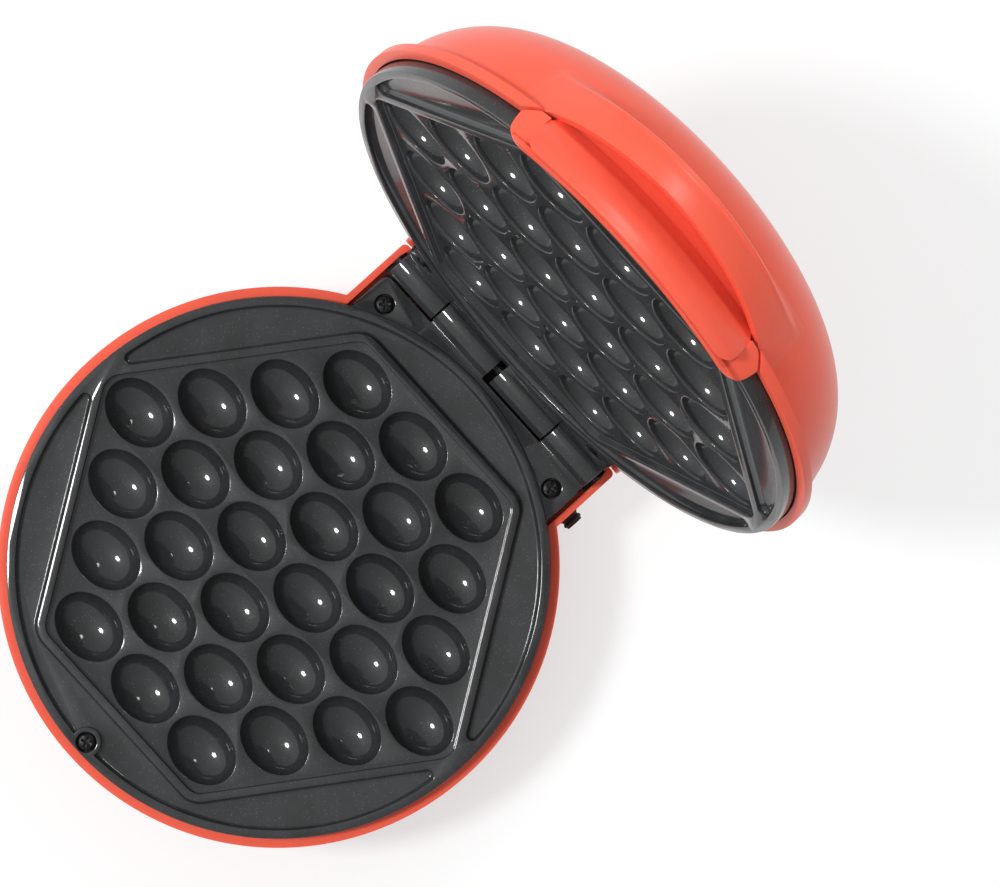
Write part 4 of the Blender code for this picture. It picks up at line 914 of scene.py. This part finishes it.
def set_in_place(obj, name, matrix, body, slot_name, *nodes):
    """Bakes a piece's place into its mesh, finishes it and lets it ride on a body in a node's stead."""
    obj.name = name
    obj.data.name = name
    obj.data.transform(matrix)
    obj.data.materials.clear()
    obj.data.materials.append(FINISHES[slot_name])
    obj.data.shade_smooth()
    obj.data.set_sharp_from_angle(angle=math.radians(SHARP_DEGREES))
    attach(obj, body)
    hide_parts(*nodes)
    return obj


def twin(obj):
    """A second object with a mesh of its own."""
    other = bpy.data.objects.new(obj.name, obj.data.copy())
    bpy.context.scene.collection.objects.link(other)
    return other


def dress():
    """Puts the fine pieces in the solids' places, and gives the solids that stay their finish."""
    plate = make_plate()
    upper = twin(plate)
    set_in_place(plate, "lower_plate_cast", IN_BASE, "base", "nonstick_coating", "lower_plate")
    set_in_place(upper, "upper_plate_cast", LID_PLATE, "lid", "nonstick_coating", "upper_plate")
    set_in_place(make_base_shell(), "base_shell_moulded", IN_BASE, "base", "coral_plastic", "base_shell")
    set_in_place(make_lid_shell(), "lid_shell_moulded", IN_LID, "lid", "coral_plastic", "lid_shell")
    set_in_place(make_tongue(), "tongue_moulded", IN_LID, "lid", "coral_plastic", "handle_tongue")
    set_in_place(make_lip_wall(), "lip_moulded", IN_LID, "lid", "coral_plastic", "handle_lip")
    set_in_place(make_gland(), "cord_gland_turned", IN_BASE, "base", "black_rubber", "cord_gland")

    screw = make_screw()
    seat = PLATE_TOP + SCREW_SEAT[1] - SCREW_SEAT_GAP
    for where, (x, y), turn in zip(SCREW_NAMES, SCREW_PLACES, SCREW_TURNS):
        stand = Matrix.Translation((x, y, -seat)) @ Matrix.Rotation(math.radians(turn), 4, "Z")
        for half, matrix, body in (("lower", IN_BASE, "base"), ("upper", LID_PLATE, "lid")):
            node = f"{half}_plate_screw_{where}"
            set_in_place(twin(screw), f"{node}_turned", matrix @ stand, body, "black_steel", node)
    bpy.data.objects.remove(screw, do_unlink=True)

    slots = {part["node"]: part["material_slot"] for part in frame["record"]["subparts"]}
    for node, obj in frame["nodes"].items():
        for material_slot in obj.material_slots:
            material_slot.material = FINISHES[slots[node]]


def floor_finish(name):
    """A pale floor: white where it is lit, with the object's shadow kept. Its glow lights nothing."""
    material = bpy.data.materials.new(name)
    nodes = Nodes(material)
    nodes.tree.nodes.remove(nodes.tree.nodes["Principled BSDF"])
    seen = nodes.add("ShaderNodeLightPath", {}, {}, "Is Camera Ray")
    mirrored = nodes.add("ShaderNodeLightPath", {}, {}, "Is Glossy Ray")
    either = nodes.add("ShaderNodeMath", {"operation": "ADD", "use_clamp": True}, {0: seen, 1: mirrored})
    cloth = nodes.add("ShaderNodeBsdfDiffuse", {}, {"Color": FLOOR_SHADE})
    glow = nodes.add("ShaderNodeEmission", {}, {"Strength": either * FLOOR_GLOW})
    both = nodes.add("ShaderNodeAddShader", {}, {0: cloth, 1: glow})
    nodes.feed(nodes.tree.nodes["Material Output"], "Surface", both)
    return material


def set_stage():
    """The floor, and a soft sky that is brighter towards one side."""
    bm = bmesh.new()
    bmesh.ops.create_grid(bm, x_segments=1, y_segments=1, size=FLOOR_HALF_SIZE)
    floor = add_mesh("floor", bm)
    floor.data.materials.append(floor_finish("floor_white"))

    world = bpy.data.worlds.new("studio")
    bpy.context.scene.world = world
    sky = Nodes(world)
    direction = sky.add("ShaderNodeTexCoord", {}, {}, "Generated")
    towards = sky.add("ShaderNodeVectorMath", {"operation": "DOT_PRODUCT"}, {0: direction, 1: BRIGHT_SIDE}, "Value")
    strength = sky.add("ShaderNodeMapRange", {}, {
        "Value": towards, "From Min": -1.0, "From Max": 1.0, "To Min": DIM_SKY, "To Max": BRIGHT_SKY,
    })
    background = sky.tree.nodes["Background"]
    sky.feed(background, "Color", (1, 1, 1, 1))
    sky.feed(background, "Strength", strength)


def add_area(name, place, target, size, power):
    light = bpy.data.lights.new(name, "AREA")
    light.shape = "ELLIPSE"
    light.size, light.size_y = size
    light.energy = power
    obj = bpy.data.objects.new(name, light)
    obj.location = place
    obj.rotation_euler = (Vector(target) - Vector(place)).to_track_quat("-Z", "Y").to_euler()
    bpy.context.scene.collection.objects.link(obj)
    return obj


def light_and_camera():
    add_area("key", KEY_PLACE, KEY_TARGET, KEY_SIZE, KEY_POWER)
    add_area("back", BACK_PLACE, BACK_TARGET, BACK_SIZE, BACK_POWER)

    camera = bpy.data.cameras.new("camera")
    camera.lens = CAMERA_LENS
    camera.sensor_width = CAMERA_SENSOR
    camera.clip_end = CAMERA_REACH
    obj = bpy.data.objects.new("camera", camera)
    turned_camera = Euler([math.radians(turn) for turn in CAMERA_TURNS], "XYZ").to_matrix().to_4x4()
    obj.matrix_world = Matrix.Translation(CAMERA_PLACE) @ turned_camera
    bpy.context.scene.collection.objects.link(obj)
    bpy.context.scene.camera = obj
    bpy.context.scene.view_settings.view_transform = "Standard"


dress()
set_stage()
light_and_camera()
bpy.context.view_layer.update()
